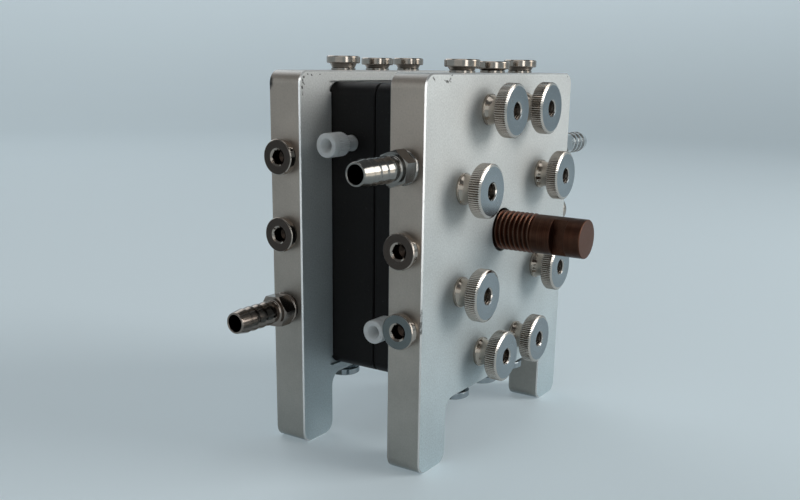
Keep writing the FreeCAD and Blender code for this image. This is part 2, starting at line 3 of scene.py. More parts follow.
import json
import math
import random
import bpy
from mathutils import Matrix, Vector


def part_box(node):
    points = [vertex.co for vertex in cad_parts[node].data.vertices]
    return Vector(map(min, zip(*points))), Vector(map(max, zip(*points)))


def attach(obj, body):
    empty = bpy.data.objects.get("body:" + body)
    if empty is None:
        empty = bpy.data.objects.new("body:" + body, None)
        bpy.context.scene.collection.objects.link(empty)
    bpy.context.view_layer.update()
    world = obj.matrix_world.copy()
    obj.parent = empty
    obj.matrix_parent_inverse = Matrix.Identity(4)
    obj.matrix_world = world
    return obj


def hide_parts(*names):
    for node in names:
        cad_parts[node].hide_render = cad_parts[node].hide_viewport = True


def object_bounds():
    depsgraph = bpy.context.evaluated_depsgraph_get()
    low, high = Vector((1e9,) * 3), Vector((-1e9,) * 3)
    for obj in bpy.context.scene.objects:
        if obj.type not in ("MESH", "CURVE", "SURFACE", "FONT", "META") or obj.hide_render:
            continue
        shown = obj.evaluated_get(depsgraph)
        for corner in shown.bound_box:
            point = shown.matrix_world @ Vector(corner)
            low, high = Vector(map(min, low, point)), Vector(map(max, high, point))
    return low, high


bl_info = {
    "name": "Flow Electrochemistry Cell",
    "version": (1, 0, 0),
    "blender": (4, 5, 0),
    "location": "View3D > Sidebar > Flow Cell",
    "description": "Dresses the measured frame of a flow electrochemistry cell and sets its stage",
    "category": "Object",
}

import bmesh
import bpy
from bpy.props import (BoolProperty, FloatProperty, FloatVectorProperty, IntProperty,
                       PointerProperty)
from mathutils import Matrix, Vector

MM = 0.001
TAU = 2 * math.pi
UP = Vector((0, 0, 1))
LEFT = Vector((-1, 0, 0))
RIGHT = Vector((1, 0, 0))
FRONT = Vector((0, -1, 0))
REAR = Vector((0, 1, 0))
OUTWARD = {"left": LEFT, "right": RIGHT, "top": UP, "bottom": -UP, "front": FRONT, "rear": REAR}
SMOOTH_ANGLE = math.radians(26)
WELD = 0.0005 * MM
ZONE_BORDER = 0.03 * MM
# Height over which the painted reflection of the ground fades from the plates
GROUND_REFLECTION_HEIGHT = 120 * MM
# Farther than any piece reaches
FAR = 1.0
# Height of the plates' underside between their legs
UNDERSIDE = 24.9 * MM
# Depth of the thread that plugs and barbs have in the ports
PORT_THREAD_DEPTH = 0.55 * MM
# Small step that keeps two bends of a profile apart
STEP = 0.05 * MM
# Range that holds most of a noise's values
NOISE_MIDDLE = (0.35, 0.65)

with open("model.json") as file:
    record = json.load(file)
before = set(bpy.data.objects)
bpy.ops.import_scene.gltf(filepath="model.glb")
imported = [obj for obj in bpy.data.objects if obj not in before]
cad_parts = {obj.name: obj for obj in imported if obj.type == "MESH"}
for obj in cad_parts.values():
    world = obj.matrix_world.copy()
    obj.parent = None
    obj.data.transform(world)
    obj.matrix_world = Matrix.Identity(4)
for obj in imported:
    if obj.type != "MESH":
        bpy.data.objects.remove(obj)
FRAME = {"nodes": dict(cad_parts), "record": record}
CAD_LOW, CAD_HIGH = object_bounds()
NODES = FRAME["nodes"]
BODY_OF = {node: body for body, nodes in FRAME["record"]["behaviour"]["bodies"].items()
           for node in nodes}


# Frame helpers

def outer_end(node, direction):
    """Middle of the face of a node's box that looks in a direction."""
    low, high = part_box(node)
    half = (high - low) / 2
    return (low + high) / 2 + Vector([d * h for d, h in zip(direction, half)])


def length_along(node, direction):
    low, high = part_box(node)
    return abs((high - low).dot(direction))


def dress(name, mesh, node, way, reach, roll=0.0, tip=None):
    """Put a mesh made along Z in a node's place: turned to a direction, and with the point at
    height reach on its axis at the tip, which is the node's outer end if none is given."""
    tip = tip or outer_end(node, way)
    turn = UP.rotation_difference(way).to_matrix().to_4x4()
    piece = bpy.data.objects.new(name, mesh)
    bpy.context.scene.collection.objects.link(piece)
    piece.matrix_world = (Matrix.Translation(tip - way * reach) @ turn
                          @ Matrix.Rotation(roll, 4, "Z"))
    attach(piece, BODY_OF[node])
    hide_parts(node)


def finish_node(node, material):
    """Give a node of the frame its finish."""
    mesh = NODES[node].data
    mesh.materials.clear()
    mesh.materials.append(material)


# Turned skins

def evenly(count):
    """Angles of equal steps round a circle."""
    return [TAU * step / count for step in range(count)]


def soften(profile, size):
    """Round the inner corners of an open (radius, height) profile with small curves.

    A point just outside each curve keeps the long faces flat under smooth shading."""
    corners = [Vector(corner) for corner in profile]
    rounded = [corners[0]]
    for before, corner, after in zip(corners, corners[1:], corners[2:]):
        sides = []
        for side in (before - corner, after - corner):
            cut = min(size, 0.42 * side.length)
            hold = min(0.3 * size, 0.06 * side.length)
            sides.append((corner + side.normalized() * cut,
                          corner + side.normalized() * (cut + hold)))
        (enter, held_in), (leave, held_out) = sides
        rounded.append(held_in)
        for share in (0.0, 1 / 3, 2 / 3, 1.0):
            a = enter.lerp(corner, share)
            b = corner.lerp(leave, share)
            rounded.append(a.lerp(b, share))
        rounded.append(held_out)
    rounded.append(corners[-1])
    return rounded


def hexagon_radius(across_flats, angle):
    """Distance from the axis to a hexagon's side at an angle; corners lie at 0, 60, ..."""
    within = (angle + 1e-9) % (TAU / 6) - TAU / 12
    return across_flats / 2 / math.cos(within)


# Knocks near the corners of the plates' faces: x and z of both ends of a stroke and its
# width in millimetres, and how much of it is broken into specks
FRONT_KNOCKS = (
    (-55.6, 145.0, -54.5, 144.1, 0.42, 0.4), (-48.1, 143.9, -46.4, 143.6, 0.36, 0.5),
    (-46.7, 143.6, -45.5, 143.4, 0.55, 0.3), (-44.9, 143.7, -43.8, 144.6, 0.38, 0.4),
    (-43.9, 143.5, -43.7, 143.4, 0.30, 0.0), (-43.4, 145.7, -42.6, 145.7, 0.30, 0.7),
    (55.5, 144.9, 55.8, 144.8, 0.32, 0.0), (-60.0, 64.2, -60.0, 56.2, 0.85, 0.7),
    (-60.0, 56.8, -60.0, 56.2, 0.75, 0.0), (-60.0, 103.8, -60.0, 103.4, 0.50, 0.0))
REAR_KNOCKS = (
    (-55.0, 145.0, -54.8, 145.0, 0.40, 0.0), (-52.7, 144.7, -52.5, 144.6, 0.46, 0.0),
    (-57.4, 144.0, -57.2, 143.9, 0.62, 0.0), (-57.9, 143.0, -57.9, 142.8, 0.42, 0.0),
    (-57.9, 142.2, -57.1, 141.4, 0.40, 0.3), (-58.4, 140.5, -58.3, 140.2, 0.60, 0.0),
    (-58.1, 138.8, -58.0, 137.6, 0.38, 0.6), (-47.9, 145.0, -47.7, 145.0, 0.30, 0.0))
# The chip in the rear plate's outer left edge, above and below
CHIP_TOP = (-60.0, 142.5, -60.0, 141.4, 2.10, 0.0)
CHIP_FOOT = (-60.0, 141.4, -60.0, 140.2, 1.60, 0.0)


def strokes(rows, y_from, y_to):
    """Strokes of the mark effect, in metres, from rows of knocks and the depths of their ends."""
    return [((x * MM, y_from, z * MM), (x_to * MM, y_to, z_to * MM), width * MM, broken)
            for x, z, x_to, z_to, width, broken in rows]


# Share of the knurl's depth across one tooth, from the middle of its crest
KNURL_FORM = ((0.0, 1.0), (0.14, 0.93), (0.32, 0.45), (0.50, 0.0), (0.68, 0.45), (0.86, 0.93))
# Share of the thread's depth along one pitch: crest, flank, root, flank
THREAD_FORM = ((0.0, 1.0), (0.14, 1.0), (0.42, 0.0), (0.72, 0.0), (1.0, 1.0))


def thread_share(phase):
    for (start, height), (end, next_height) in zip(THREAD_FORM, THREAD_FORM[1:]):
        if phase <= end:
            return height + (next_height - height) * (phase - start) / (end - start)
    return 1.0


class Skin:
    """Rings of points about Z, each joined to the one before."""

    def __init__(self, count):
        self.count = count
        self.points = []
        self.faces = []
        self.last = None

    def ring(self, radius, height, angles=None):
        """Add a ring; radius and height are numbers or functions of the angle."""
        first = len(self.points)
        for angle in angles or evenly(self.count):
            r = radius(angle) if callable(radius) else radius
            z = height(angle) if callable(height) else height
            self.points.append((r * math.cos(angle), r * math.sin(angle), z))
        ring = list(range(first, len(self.points)))
        if self.last:
            self.join(self.last, ring)
        self.last = ring

    def join(self, below, above):
        """Fill the band between two rings; one may have a multiple of the other's points."""
        if len(below) == len(above):
            for i, j in zip(range(len(below)), list(range(1, len(below))) + [0]):
                self.faces.append((below[i], below[j], above[j], above[i]))
            return
        few, many = sorted((below, above), key=len)
        step = len(many) // len(few)
        for i in range(len(few)):
            following = few[(i + 1) % len(few)]
            for k in range(step):
                start = many[i * step + k]
                end = many[(i * step + k + 1) % len(many)]
                self.faces.append((start, end, few[i] if 2 * k < step else following))
            middle = many[i * step + (step + 1) // 2]
            self.faces.append((few[i], middle, following))

    def turn(self, profile):
        for radius, height in profile:
            self.ring(radius, height)

    def close(self):
        """Cover the last ring with a flat end."""
        self.faces.append(tuple(self.last))

    def thread(self, low, high, pitch, crest, root, start=FAR, end=FAR):
        """Helical thread from low to high that runs out, at 45 degrees, from the radius
        start at its first end and to the radius end at its last."""

        def radius_at(angle, height):
            phase = ((height - low) / pitch - angle / TAU) % 1.0
            radius = root + (crest - root) * thread_share(phase)
            return min(radius, start + abs(height - low), end + abs(high - height))

        self.ring(lambda angle: radius_at(angle, low), low)
        way = 1 if high > low else -1
        rows = []
        for turn in range(-1, math.ceil(abs(high - low) / pitch) + 1):
            for share, _ in THREAD_FORM[:-1]:
                rows.append(len(self.points))
                for step in range(self.count + 1):
                    angle = TAU * step / self.count
                    lead = (turn + (share if way > 0 else 1 - share)) * pitch * way
                    height = low + lead + pitch * angle / TAU
                    if way < 0:
                        height -= pitch
                    height = max(min(low, high), min(max(low, high), height))
                    radius = radius_at(angle, height)
                    self.points.append(
                        (radius * math.cos(angle), radius * math.sin(angle), height))
        for row, following in zip(rows, rows[1:]):
            for step in range(self.count):
                self.faces.append((row + step, row + step + 1,
                                   following + step + 1, following + step))
        self.last = None
        self.ring(lambda angle: radius_at(angle, high), high)

    def mesh(self, name, material):
        """Weld the rings into a mesh with soft bends and crisp corners."""
        mesh = bpy.data.meshes.new(name)
        mesh.from_pydata(self.points, [], self.faces)
        shape = bmesh.new()
        shape.from_mesh(mesh)
        bmesh.ops.remove_doubles(shape, verts=shape.verts, dist=WELD)
        bmesh.ops.dissolve_degenerate(shape, edges=shape.edges, dist=WELD)
        bmesh.ops.recalc_face_normals(shape, faces=shape.faces)
        for face in shape.faces:
            face.smooth = True
        for edge in shape.edges:
            edge.smooth = edge.is_manifold and edge.calc_face_angle(0.0) < SMOOTH_ANGLE
        shape.to_mesh(mesh)
        shape.free()
        mesh.materials.append(material)
        return mesh


# Shader helpers

class Graph:
    """Short way to add and wire shader nodes in one tree."""

    def __init__(self, tree):
        self.tree = tree

    def put(self, value, socket):
        if isinstance(value, bpy.types.NodeSocket):
            self.tree.links.new(value, socket)
        else:
            socket.default_value = value

    def add(self, kind, inputs=None, **settings):
        node = self.tree.nodes.new("ShaderNode" + kind)
        for key, value in settings.items():
            setattr(node, key, value)
        for key, value in (inputs or {}).items():
            self.put(value, node.inputs[key])
        return node

    def maths(self, operation, first, second=0.0):
        return self.add("Math", {0: first, 1: second}, operation=operation).outputs[0]

    def times(self, first, second):
        return self.maths("MULTIPLY", first, second)

    def plus(self, first, second):
        return self.maths("ADD", first, second)

    def minus(self, first, second):
        return self.maths("SUBTRACT", first, second)

    def vector_maths(self, operation, first, second=(0, 0, 0)):
        node = self.add("VectorMath", {0: first, 1: second}, operation=operation)
        output = "Value" if operation in ("LENGTH", "DISTANCE", "DOT_PRODUCT") else "Vector"
        return node.outputs[output]

    def scaled(self, vector, factor):
        return self.add("VectorMath", {0: vector, "Scale": factor},
                        operation="SCALE").outputs["Vector"]

    def height(self, place):
        """Place along a piece's own Z axis."""
        return self.add("SeparateXYZ", {0: place}).outputs[2]

    def radius(self, place):
        """Distance from a piece's own Z axis."""
        parts = self.add("SeparateXYZ", {0: place}).outputs
        flat = self.add("CombineXYZ", {"X": parts[0], "Y": parts[1]}).outputs[0]
        return self.vector_maths("LENGTH", flat)

    def between(self, value, low, high):
        """1 between two lengths, with a short soft border."""
        return self.times(self.spread(value, low - ZONE_BORDER, low),
                          self.spread(value, high, high + ZONE_BORDER, 1.0, 0.0))

    def sway(self, noise, low, high):
        """Number between two limits that follows a noise."""
        return self.spread(noise, 0.3, 0.7, low, high)

    def spread(self, value, low, high, to_low=0.0, to_high=1.0):
        """Map a value from one range to another and keep it there."""
        node = self.add("MapRange", {"Value": value, "From Min": low, "From Max": high,
                                     "To Min": to_low, "To Max": to_high})
        return node.outputs["Result"]

    def blend(self, share, first, second, mode="MIX"):
        """Mix two colours, which the Mix node takes in its sockets 6 and 7."""
        node = self.add("Mix", {0: share, 6: first, 7: second}, data_type="RGBA",
                        blend_type=mode)
        return node.outputs[2]

    def mottle(self, noise, first, second):
        """Two colours, mixed by the middle range of a noise."""
        return self.blend(self.spread(noise, *NOISE_MIDDLE), first, second)

    def noise(self, vector, scale, detail=2.0, roughness=0.5):
        node = self.add("TexNoise", {"Vector": vector, "Scale": scale, "Detail": detail,
                                     "Roughness": roughness})
        return node.outputs["Fac"]


def colour(rgb, factor=1.0):
    """Colour with its alpha, lighter or darker by a factor."""
    return tuple(min(1.0, channel * factor) for channel in rgb) + (1.0,)


def grey(level):
    return colour((level, level, level))


def seen_rays(g):
    """1 for the camera's own rays and those that metal and glass send on, else 0."""
    rays = g.add("LightPath").outputs
    onward = g.maths("MAXIMUM", rays["Is Glossy Ray"], rays["Is Transmission Ray"])
    return g.maths("MAXIMUM", rays["Is Camera Ray"], onward)


class Effect(Graph):
    """Shader node group with vectors and numbers going in and numbers coming out."""

    def __init__(self, name, numbers, results, vectors=("Vector",)):
        super().__init__(bpy.data.node_groups.new(name, "ShaderNodeTree"))
        for label in vectors:
            self.socket(label, "INPUT", "NodeSocketVector")
        for label, default in numbers.items():
            self.socket(label, "INPUT", "NodeSocketFloat").default_value = default
        for label in results:
            self.socket(label, "OUTPUT", "NodeSocketFloat")
        self.given = self.tree.nodes.new("NodeGroupInput").outputs
        self.results = self.tree.nodes.new("NodeGroupOutput").inputs

    def socket(self, label, way, kind):
        return self.tree.interface.new_socket(label, in_out=way, socket_type=kind)

    def give(self, **results):
        """Wire the results and return the finished group."""
        for label, value in results.items():
            self.put(value, self.results[label])
        return self.tree


def blast_grain_group():
    """Fine pitted grain of a bead-blasted face."""
    g = Effect("Blast Grain", {"Grain Scale": 1600.0}, ("Height", "Tone"))
    vector = g.given["Vector"]
    scale = g.given["Grain Scale"]
    fine = g.noise(vector, scale, 3.0, 0.6)
    pits = g.add("TexVoronoi", {"Vector": vector, "Scale": g.times(scale, 0.7)},
                 feature="F1").outputs["Distance"]
    broad = g.noise(vector, g.times(scale, 0.012), 3.0, 0.6)
    return g.give(Height=g.plus(g.times(fine, 0.6), g.times(pits, 0.4)),
                  Tone=g.plus(g.times(fine, 0.55), g.times(broad, 0.45)))


def turning_group():
    """Fine rings that a lathe leaves round a piece's own Z axis."""
    g = Effect("Turning Marks", {"Rings Per Metre": 5000.0}, ("Height", "Tone"))
    vector = g.given["Vector"]
    scale = g.given["Rings Per Metre"]
    flat = g.add("CombineXYZ", {"X": g.radius(vector), "Z": g.height(vector)}).outputs[0]
    rings = g.noise(flat, scale, 1.0)
    bands = g.noise(flat, g.times(scale, 0.12))
    return g.give(Height=rings, Tone=g.times(g.plus(rings, bands), 0.5))


def handling_group():
    """Smudges and hairline scratches from use."""
    g = Effect("Handling Wear", {"Smudge Scale": 60.0}, ("Smudge", "Scratch"))
    vector = g.given["Vector"]
    scale = g.given["Smudge Scale"]
    smudge = g.spread(g.noise(vector, scale, 4.0, 0.6), 0.38, 0.68)
    drawn = g.add("Mapping", {"Vector": vector, "Rotation": (0.5, 0.3, 0.6),
                              "Scale": (1.0, 18.0, 14.0)}).outputs[0]
    hair = g.noise(drawn, g.times(scale, 1.6))
    return g.give(Smudge=smudge, Scratch=g.spread(hair, 0.70, 0.76))


def mark_group():
    """Soft mask round a short straight stroke, for a scratch or a chip; Broken leaves specks."""
    g = Effect("Mark", {"Width": 0.6 * MM, "Broken": 0.0}, ("Mask",), ("Vector", "From", "To"))
    vector = g.given["Vector"]
    start = g.given["From"]
    ragged_scale, speck_scale = 900.0, 1600.0
    raggedness = 0.8 * MM
    ragged = g.add("TexNoise", {"Vector": vector, "Scale": ragged_scale, "Detail": 2.0})
    shift = g.scaled(g.vector_maths("SUBTRACT", ragged.outputs["Color"], (0.5, 0.5, 0.5)),
                     raggedness)
    stroke = g.vector_maths("SUBTRACT", g.given["To"], start)
    offset = g.vector_maths("SUBTRACT", g.vector_maths("ADD", vector, shift), start)
    reach = g.maths("MAXIMUM", g.vector_maths("DOT_PRODUCT", stroke, stroke), 1e-12)
    share = g.maths("DIVIDE", g.vector_maths("DOT_PRODUCT", offset, stroke), reach)
    share = g.maths("MINIMUM", g.maths("MAXIMUM", share, 0.0), 1.0)
    distance = g.vector_maths("DISTANCE", offset, g.scaled(stroke, share))
    mask = g.spread(g.maths("DIVIDE", distance, g.given["Width"]), 0.4, 1.0, 1.0, 0.0)
    specks = g.spread(g.noise(vector, speck_scale, 1.0), 0.50, 0.57)
    kept = g.maths("MAXIMUM", specks, g.minus(1.0, g.given["Broken"]))
    return g.give(Mask=g.times(mask, kept))


EFFECTS = {}
EFFECT_BUILDERS = {"grain": blast_grain_group, "turning": turning_group,
                   "handling": handling_group, "mark": mark_group}


class Finish:
    """One material under construction: its graph, its coordinates and its shader."""

    def __init__(self, name, metallic=0.0, roughness=0.5, **sockets):
        self.material = bpy.data.materials.new(name)
        self.material.use_nodes = True
        tree = self.material.node_tree
        self.g = Graph(tree)
        self.shader = tree.nodes["Principled BSDF"]
        self.shader.inputs["Metallic"].default_value = metallic
        self.shader.inputs["Roughness"].default_value = roughness
        for key, value in sockets.items():
            self.shader.inputs[key.replace("_", " ")].default_value = value
        self.place = self.g.add("TexCoord").outputs["Object"]

    def effect(self, key, **inputs):
        """Place a shared effect in this material; built the first time it is asked for."""
        if key not in EFFECTS:
            EFFECTS[key] = EFFECT_BUILDERS[key]()
        node = self.g.add("Group", node_tree=EFFECTS[key])
        self.g.put(self.place, node.inputs["Vector"])
        for label, value in inputs.items():
            self.g.put(value, node.inputs[label.replace("_", " ")])
        return node.outputs

    def base(self, value):
        self.g.put(value, self.shader.inputs["Base Color"])

    def rough(self, value):
        self.g.put(value, self.shader.inputs["Roughness"])

    def bump(self, height, strength, distance):
        node = self.g.add("Bump", {"Height": height, "Strength": strength,
                                   "Distance": distance})
        self.g.put(node.outputs["Normal"], self.shader.inputs["Normal"])


def aluminium_finish(name, bevel_tint, marks):
    """Plate with bead-blasted faces, smooth edges, bright bevels and a few knocks. Painted light on
    it: a warm reflection on the side edges, a cool reflection of the ground low down, a lighter
    rear bevel as a painted highlight, and shade in the knocks.
    """
    metal_share = 0.55
    face_rough, edge_rough, bevel_rough = 0.56, 0.40, 0.26
    grain_rise, knock_depth = 0.6, 1.5
    tints = bpy.context.scene.flow_cell_finishes
    f = Finish(name)
    g = f.g
    grain = f.effect("grain", Grain_Scale=1500.0)
    wear = f.effect("handling", Smudge_Scale=35.0)
    normal = g.add("SeparateXYZ", {0: g.add("NewGeometry").outputs["True Normal"]}).outputs
    # Faces look along Y, bevels lean away from it, and the rest are the edges
    depth_way = g.maths("ABSOLUTE", normal[1])
    face = g.spread(depth_way, 0.90, 0.99)
    bevel = g.times(g.spread(depth_way, 0.30, 0.40), g.spread(depth_way, 0.85, 0.95, 1.0, 0.0))
    level = g.spread(g.maths("ABSOLUTE", normal[2]), 0.5, 0.9)
    blasted = g.mottle(grain["Tone"], colour(tints.plate, 0.83), colour(tints.plate, 1.16))
    # Side edges: their own milled tone with a painted warm reflection; faces that look up or down
    # keep a plain tone without it
    smooth = g.blend(wear["Smudge"], colour(tints.milled_edge_and_warm_reflection, 1.05), colour(tints.milled_edge_and_warm_reflection, 0.84))
    smooth = g.blend(level, smooth, colour(tints.plate, 0.84))
    fine = g.spread(grain["Tone"], *NOISE_MIDDLE, 0.90, 1.08)
    smooth = g.blend(1.0, smooth, fine, "MULTIPLY")
    tone = g.blend(face, smooth, blasted)
    # Painted reflection of the ground: a cool tint low on the plates that fades out upward
    cast = g.blend(g.spread(g.height(f.place), 0.0, GROUND_REFLECTION_HEIGHT), colour(tints.painted_ground_reflection), grey(1.0))
    tone = g.blend(1.0, tone, cast, "MULTIPLY")
    # Bevels in their polished tone; the rear plate's bevel tone is lighter, a painted highlight
    tone = g.blend(bevel, tone, colour(bevel_tint))
    hurt = 0.0
    for start, end, width, broken in marks:
        stroke = f.effect("mark", From=start, To=end, Width=width, Broken=broken)["Mask"]
        hurt = g.maths("MAXIMUM", stroke, hurt)
    # The knocks' dark colour is painted shade in their hollows
    f.base(g.blend(hurt, tone, colour(tints.bruise)))
    g.put(g.times(g.minus(1.0, hurt), metal_share), f.shader.inputs["Metallic"])
    f.rough(g.blend(bevel, g.blend(face, grey(edge_rough), grey(face_rough)), grey(bevel_rough)))
    relief = g.minus(g.times(grain["Height"], g.times(face, grain_rise)),
                     g.times(hurt, knock_depth))
    f.bump(relief, 0.35, 0.06 * MM)
    return f.material


def black_plastic_finish(name):
    """Milled black plastic with faint cutter lines and dust."""
    line_scale = (40.0, 2600.0, 900.0)
    dust_scale, dust_share = 1100.0, 0.5
    tints = bpy.context.scene.flow_cell_finishes
    f = Finish(name, roughness=0.42, Specular_IOR_Level=0.16)
    g = f.g
    wear = f.effect("handling", Smudge_Scale=45.0)
    lines = g.add("Mapping", {"Vector": f.place, "Scale": line_scale}).outputs[0]
    cutter = g.noise(lines, 1.0)
    dust = g.spread(g.noise(f.place, dust_scale, 1.0), 0.72, 0.80)
    plain = g.blend(g.sway(cutter, 0.0, 1.0), colour(tints.body), colour(tints.body_lines))
    f.base(g.blend(g.times(dust, dust_share), plain, colour(tints.dust)))
    f.rough(g.plus(g.sway(cutter, 0.36, 0.48), g.times(wear["Smudge"], 0.08)))
    f.bump(cutter, 0.25, 0.02 * MM)
    return f.material


def turned_metal_finish(name, tint, roughness, zones=(), contrast=0.10):
    """Turned metal: rings of the lathe, smudges and hairlines on one base colour.

    Each zone is a colour and a roughness for what lies between two heights along Z and
    between two radii."""
    smudge_share = 0.35
    smudge_rough, scratch_rough = 0.05, 0.10
    f = Finish(name, metallic=1.0)
    g = f.g
    turning = f.effect("turning", Rings_Per_Metre=4500.0)
    wear = f.effect("handling", Smudge_Scale=90.0)

    def toned(base):
        dark = colour(base, 1 - contrast)
        tone = g.mottle(turning["Tone"], dark, colour(base, 1 + contrast))
        return g.blend(g.times(wear["Smudge"], smudge_share), tone, dark)

    tone = toned(tint)
    rough = g.plus(g.times(wear["Smudge"], smudge_rough),
                   g.times(wear["Scratch"], scratch_rough))
    rough = g.plus(rough, roughness)
    for zone_tint, zone_rough, low, high, inner, outer in zones:
        share = g.times(g.between(g.height(f.place), low, high),
                        g.between(g.radius(f.place), inner, outer))
        tone = g.blend(share, tone, toned(zone_tint))
        rough = g.plus(rough, g.times(share, zone_rough - roughness))
    f.base(tone)
    f.rough(rough)
    f.bump(turning["Height"], 0.15, 0.008 * MM)
    return f.material


def oxidised_copper_finish(name):
    """Dark brown oxide on turned copper, redder in the thread and greyer on its crests."""
    tints = bpy.context.scene.flow_cell_finishes
    terminal = bpy.context.scene.flow_cell_terminal
    f = Finish(name, metallic=1.0)
    g = f.g
    turning = f.effect("turning", Rings_Per_Metre=3200.0)
    wear = f.effect("handling", Smudge_Scale=120.0)
    height = g.height(f.place)
    below_crest = g.minus(terminal.thread / 2, g.radius(f.place))
    threaded = g.spread(height, terminal.thread_end, terminal.thread_end + 0.3 * MM, 1.0, 0.0)
    crest = g.times(threaded, g.spread(below_crest, 0.05 * MM, 0.25 * MM, 1.0, 0.0))
    deep = g.times(threaded, g.spread(below_crest, 0.6 * MM, 1.05 * MM))
    ended = g.spread(height, terminal.out - 0.15 * MM, terminal.out - 0.05 * MM)
    tone = g.mottle(turning["Tone"], colour(tints.copper_dark), colour(tints.copper))
    for share, over in ((threaded, tints.copper_thread), (deep, tints.copper_dark),
                        (g.times(crest, 0.8), tints.copper_worn),
                        (g.times(ended, 0.85), tints.copper_end),
                        (g.times(wear["Smudge"], 0.25), tints.copper_worn)):
        tone = g.blend(share, tone, colour(over))
    f.base(tone)
    f.rough(g.plus(g.sway(turning["Tone"], 0.32, 0.42), g.times(wear["Smudge"], 0.10)))
    f.bump(turning["Height"], 0.3, 0.012 * MM)
    return f.material


def white_plastic_finish(name, neck_end=-FAR):
    """Natural plastic: milky, and darker where the thin neck lets the body show through."""
    cloud_scale, grain_scale = 260.0, 2200.0
    tints = bpy.context.scene.flow_cell_finishes
    f = Finish(name, Subsurface_Weight=1.0, Subsurface_Scale=3.0 * MM,
               Subsurface_Radius=(1.0, 1.0, 1.0))
    g = f.g
    cloud = g.noise(f.place, cloud_scale)
    tone = g.mottle(cloud, colour(tints.white_plastic), colour(tints.white_plastic, 0.94))
    thin = g.spread(g.height(f.place), neck_end - 0.1 * MM, neck_end, 1.0, 0.0)
    f.base(g.blend(thin, tone, colour(tints.thin_plastic)))
    f.rough(g.sway(cloud, 0.36, 0.48))
    f.bump(g.noise(f.place, grain_scale, 1.0), 0.1, 0.01 * MM)
    return f.material


def plain_finish(name, tint, roughness, metallic=0.0):
    """Small or inner piece: one colour with a fine mottle."""
    mottle_scale, rough_sway = 600.0, 0.06
    f = Finish(name, metallic=metallic)
    g = f.g
    mottle = g.noise(f.place, mottle_scale, 3.0, 0.6)
    f.base(g.mottle(mottle, colour(tint, 0.85), colour(tint, 1.15)))
    f.rough(g.sway(mottle, roughness - rough_sway, roughness + rough_sway))
    f.bump(mottle, 0.15, 0.02 * MM)
    return f.material


# Meshes of the small parts, made round Z

def thumb_nut_mesh(sizes, material):
    """Round hand nut: base ring, waisted neck, knurled head with a wide bevel, threaded hole."""
    neck_steps = 18
    shoulder = 0.2 * MM
    thread_play = 0.02 * MM
    skin = Skin(72)
    head_r = sizes.head / 2
    root_r = head_r - sizes.knurl_depth
    collar_r = sizes.collar / 2
    hole_r = sizes.hole / 2
    lip_r = hole_r + sizes.lip
    head_low = sizes.height - sizes.head_height
    draw = (sizes.collar - sizes.waist) / 2
    skin.turn(soften([(lip_r, 0), (sizes.base / 2, 0), (sizes.base / 2, sizes.base_height),
                      (collar_r, sizes.base_height)], 0.15 * MM))
    for step in range(1, neck_steps):
        share = step / neck_steps
        skin.ring(collar_r - 4 * draw * share * (1 - share),
                  sizes.base_height + share * (head_low - sizes.base_height))
    skin.turn([(collar_r, head_low), (collar_r + shoulder, head_low)])

    angles = [TAU * (tooth + share) / sizes.teeth for tooth in range(sizes.teeth)
              for share, _ in KNURL_FORM]
    rises = [rise for _ in range(sizes.teeth) for _, rise in KNURL_FORM]
    tip_at = {angle: root_r + sizes.knurl_depth * rise for angle, rise in zip(angles, rises)}
    edge = sizes.edge
    bevel_r = head_r - sizes.bevel_width
    bevel_low = sizes.height - sizes.bevel_height
    runout = sizes.bevel_height * sizes.knurl_depth / sizes.bevel_width
    for cap, height in ((head_r - edge, head_low), (root_r, head_low + edge - sizes.knurl_depth),
                        (head_r, head_low + edge), (head_r, bevel_low),
                        (root_r, bevel_low + runout), (bevel_r, sizes.height)):
        skin.ring(lambda angle, cap=cap: min(cap, tip_at[angle]), height, angles)
    face = [(bevel_r - 2 * STEP, sizes.height), (lip_r + 0.3 * MM, sizes.height),
            (lip_r, sizes.height), (hole_r, sizes.height - sizes.lip)]
    skin.turn(soften(face, 0.08 * MM))
    skin.thread(sizes.height - sizes.lip, sizes.lip, sizes.pitch, hole_r - thread_play,
                hole_r + sizes.thread_depth)
    skin.turn([(hole_r, sizes.lip), (lip_r, 0)])
    return skin.mesh("hand_nut", material)


def tie_rod_mesh(sizes, reach, material):
    """Cap screw: knurled head with a hex socket, long shank, thread at the far end."""
    skin = Skin(48)
    thread_depth = 0.5 * MM
    knurl = 0.12 * MM
    knurl_high = -0.4 * MM
    socket_depth = 3.0 * MM
    head_r = sizes.head / 2
    low = -sizes.head_height
    shank_r = sizes.rod / 2
    tip_r = shank_r - 0.6 * MM
    mouth_r = sizes.socket / 2 + 0.55 * MM
    thread_low = reach - sizes.thread_length
    skin.turn([(tip_r, reach)])
    skin.close()
    skin.thread(reach, thread_low, sizes.pitch, shank_r, shank_r - thread_depth, start=tip_r)
    skin.turn([(shank_r, thread_low), (shank_r, 0), (head_r, 0), (head_r, knurl_high)])
    for height in (knurl_high, low + 0.9 * MM):
        skin.ring(lambda angle: head_r - knurl * (1 + math.sin(angle * skin.count)), height,
                  evenly(4 * skin.count))
    skin.turn(soften([(head_r - STEP, low + 0.7 * MM), (head_r - 0.5 * MM, low),
                      (mouth_r + 0.2 * MM, low)], 0.2 * MM))
    hex_socket(skin, sizes.socket, low, socket_depth, mouth_r)
    return skin.mesh("tie_rod", material)


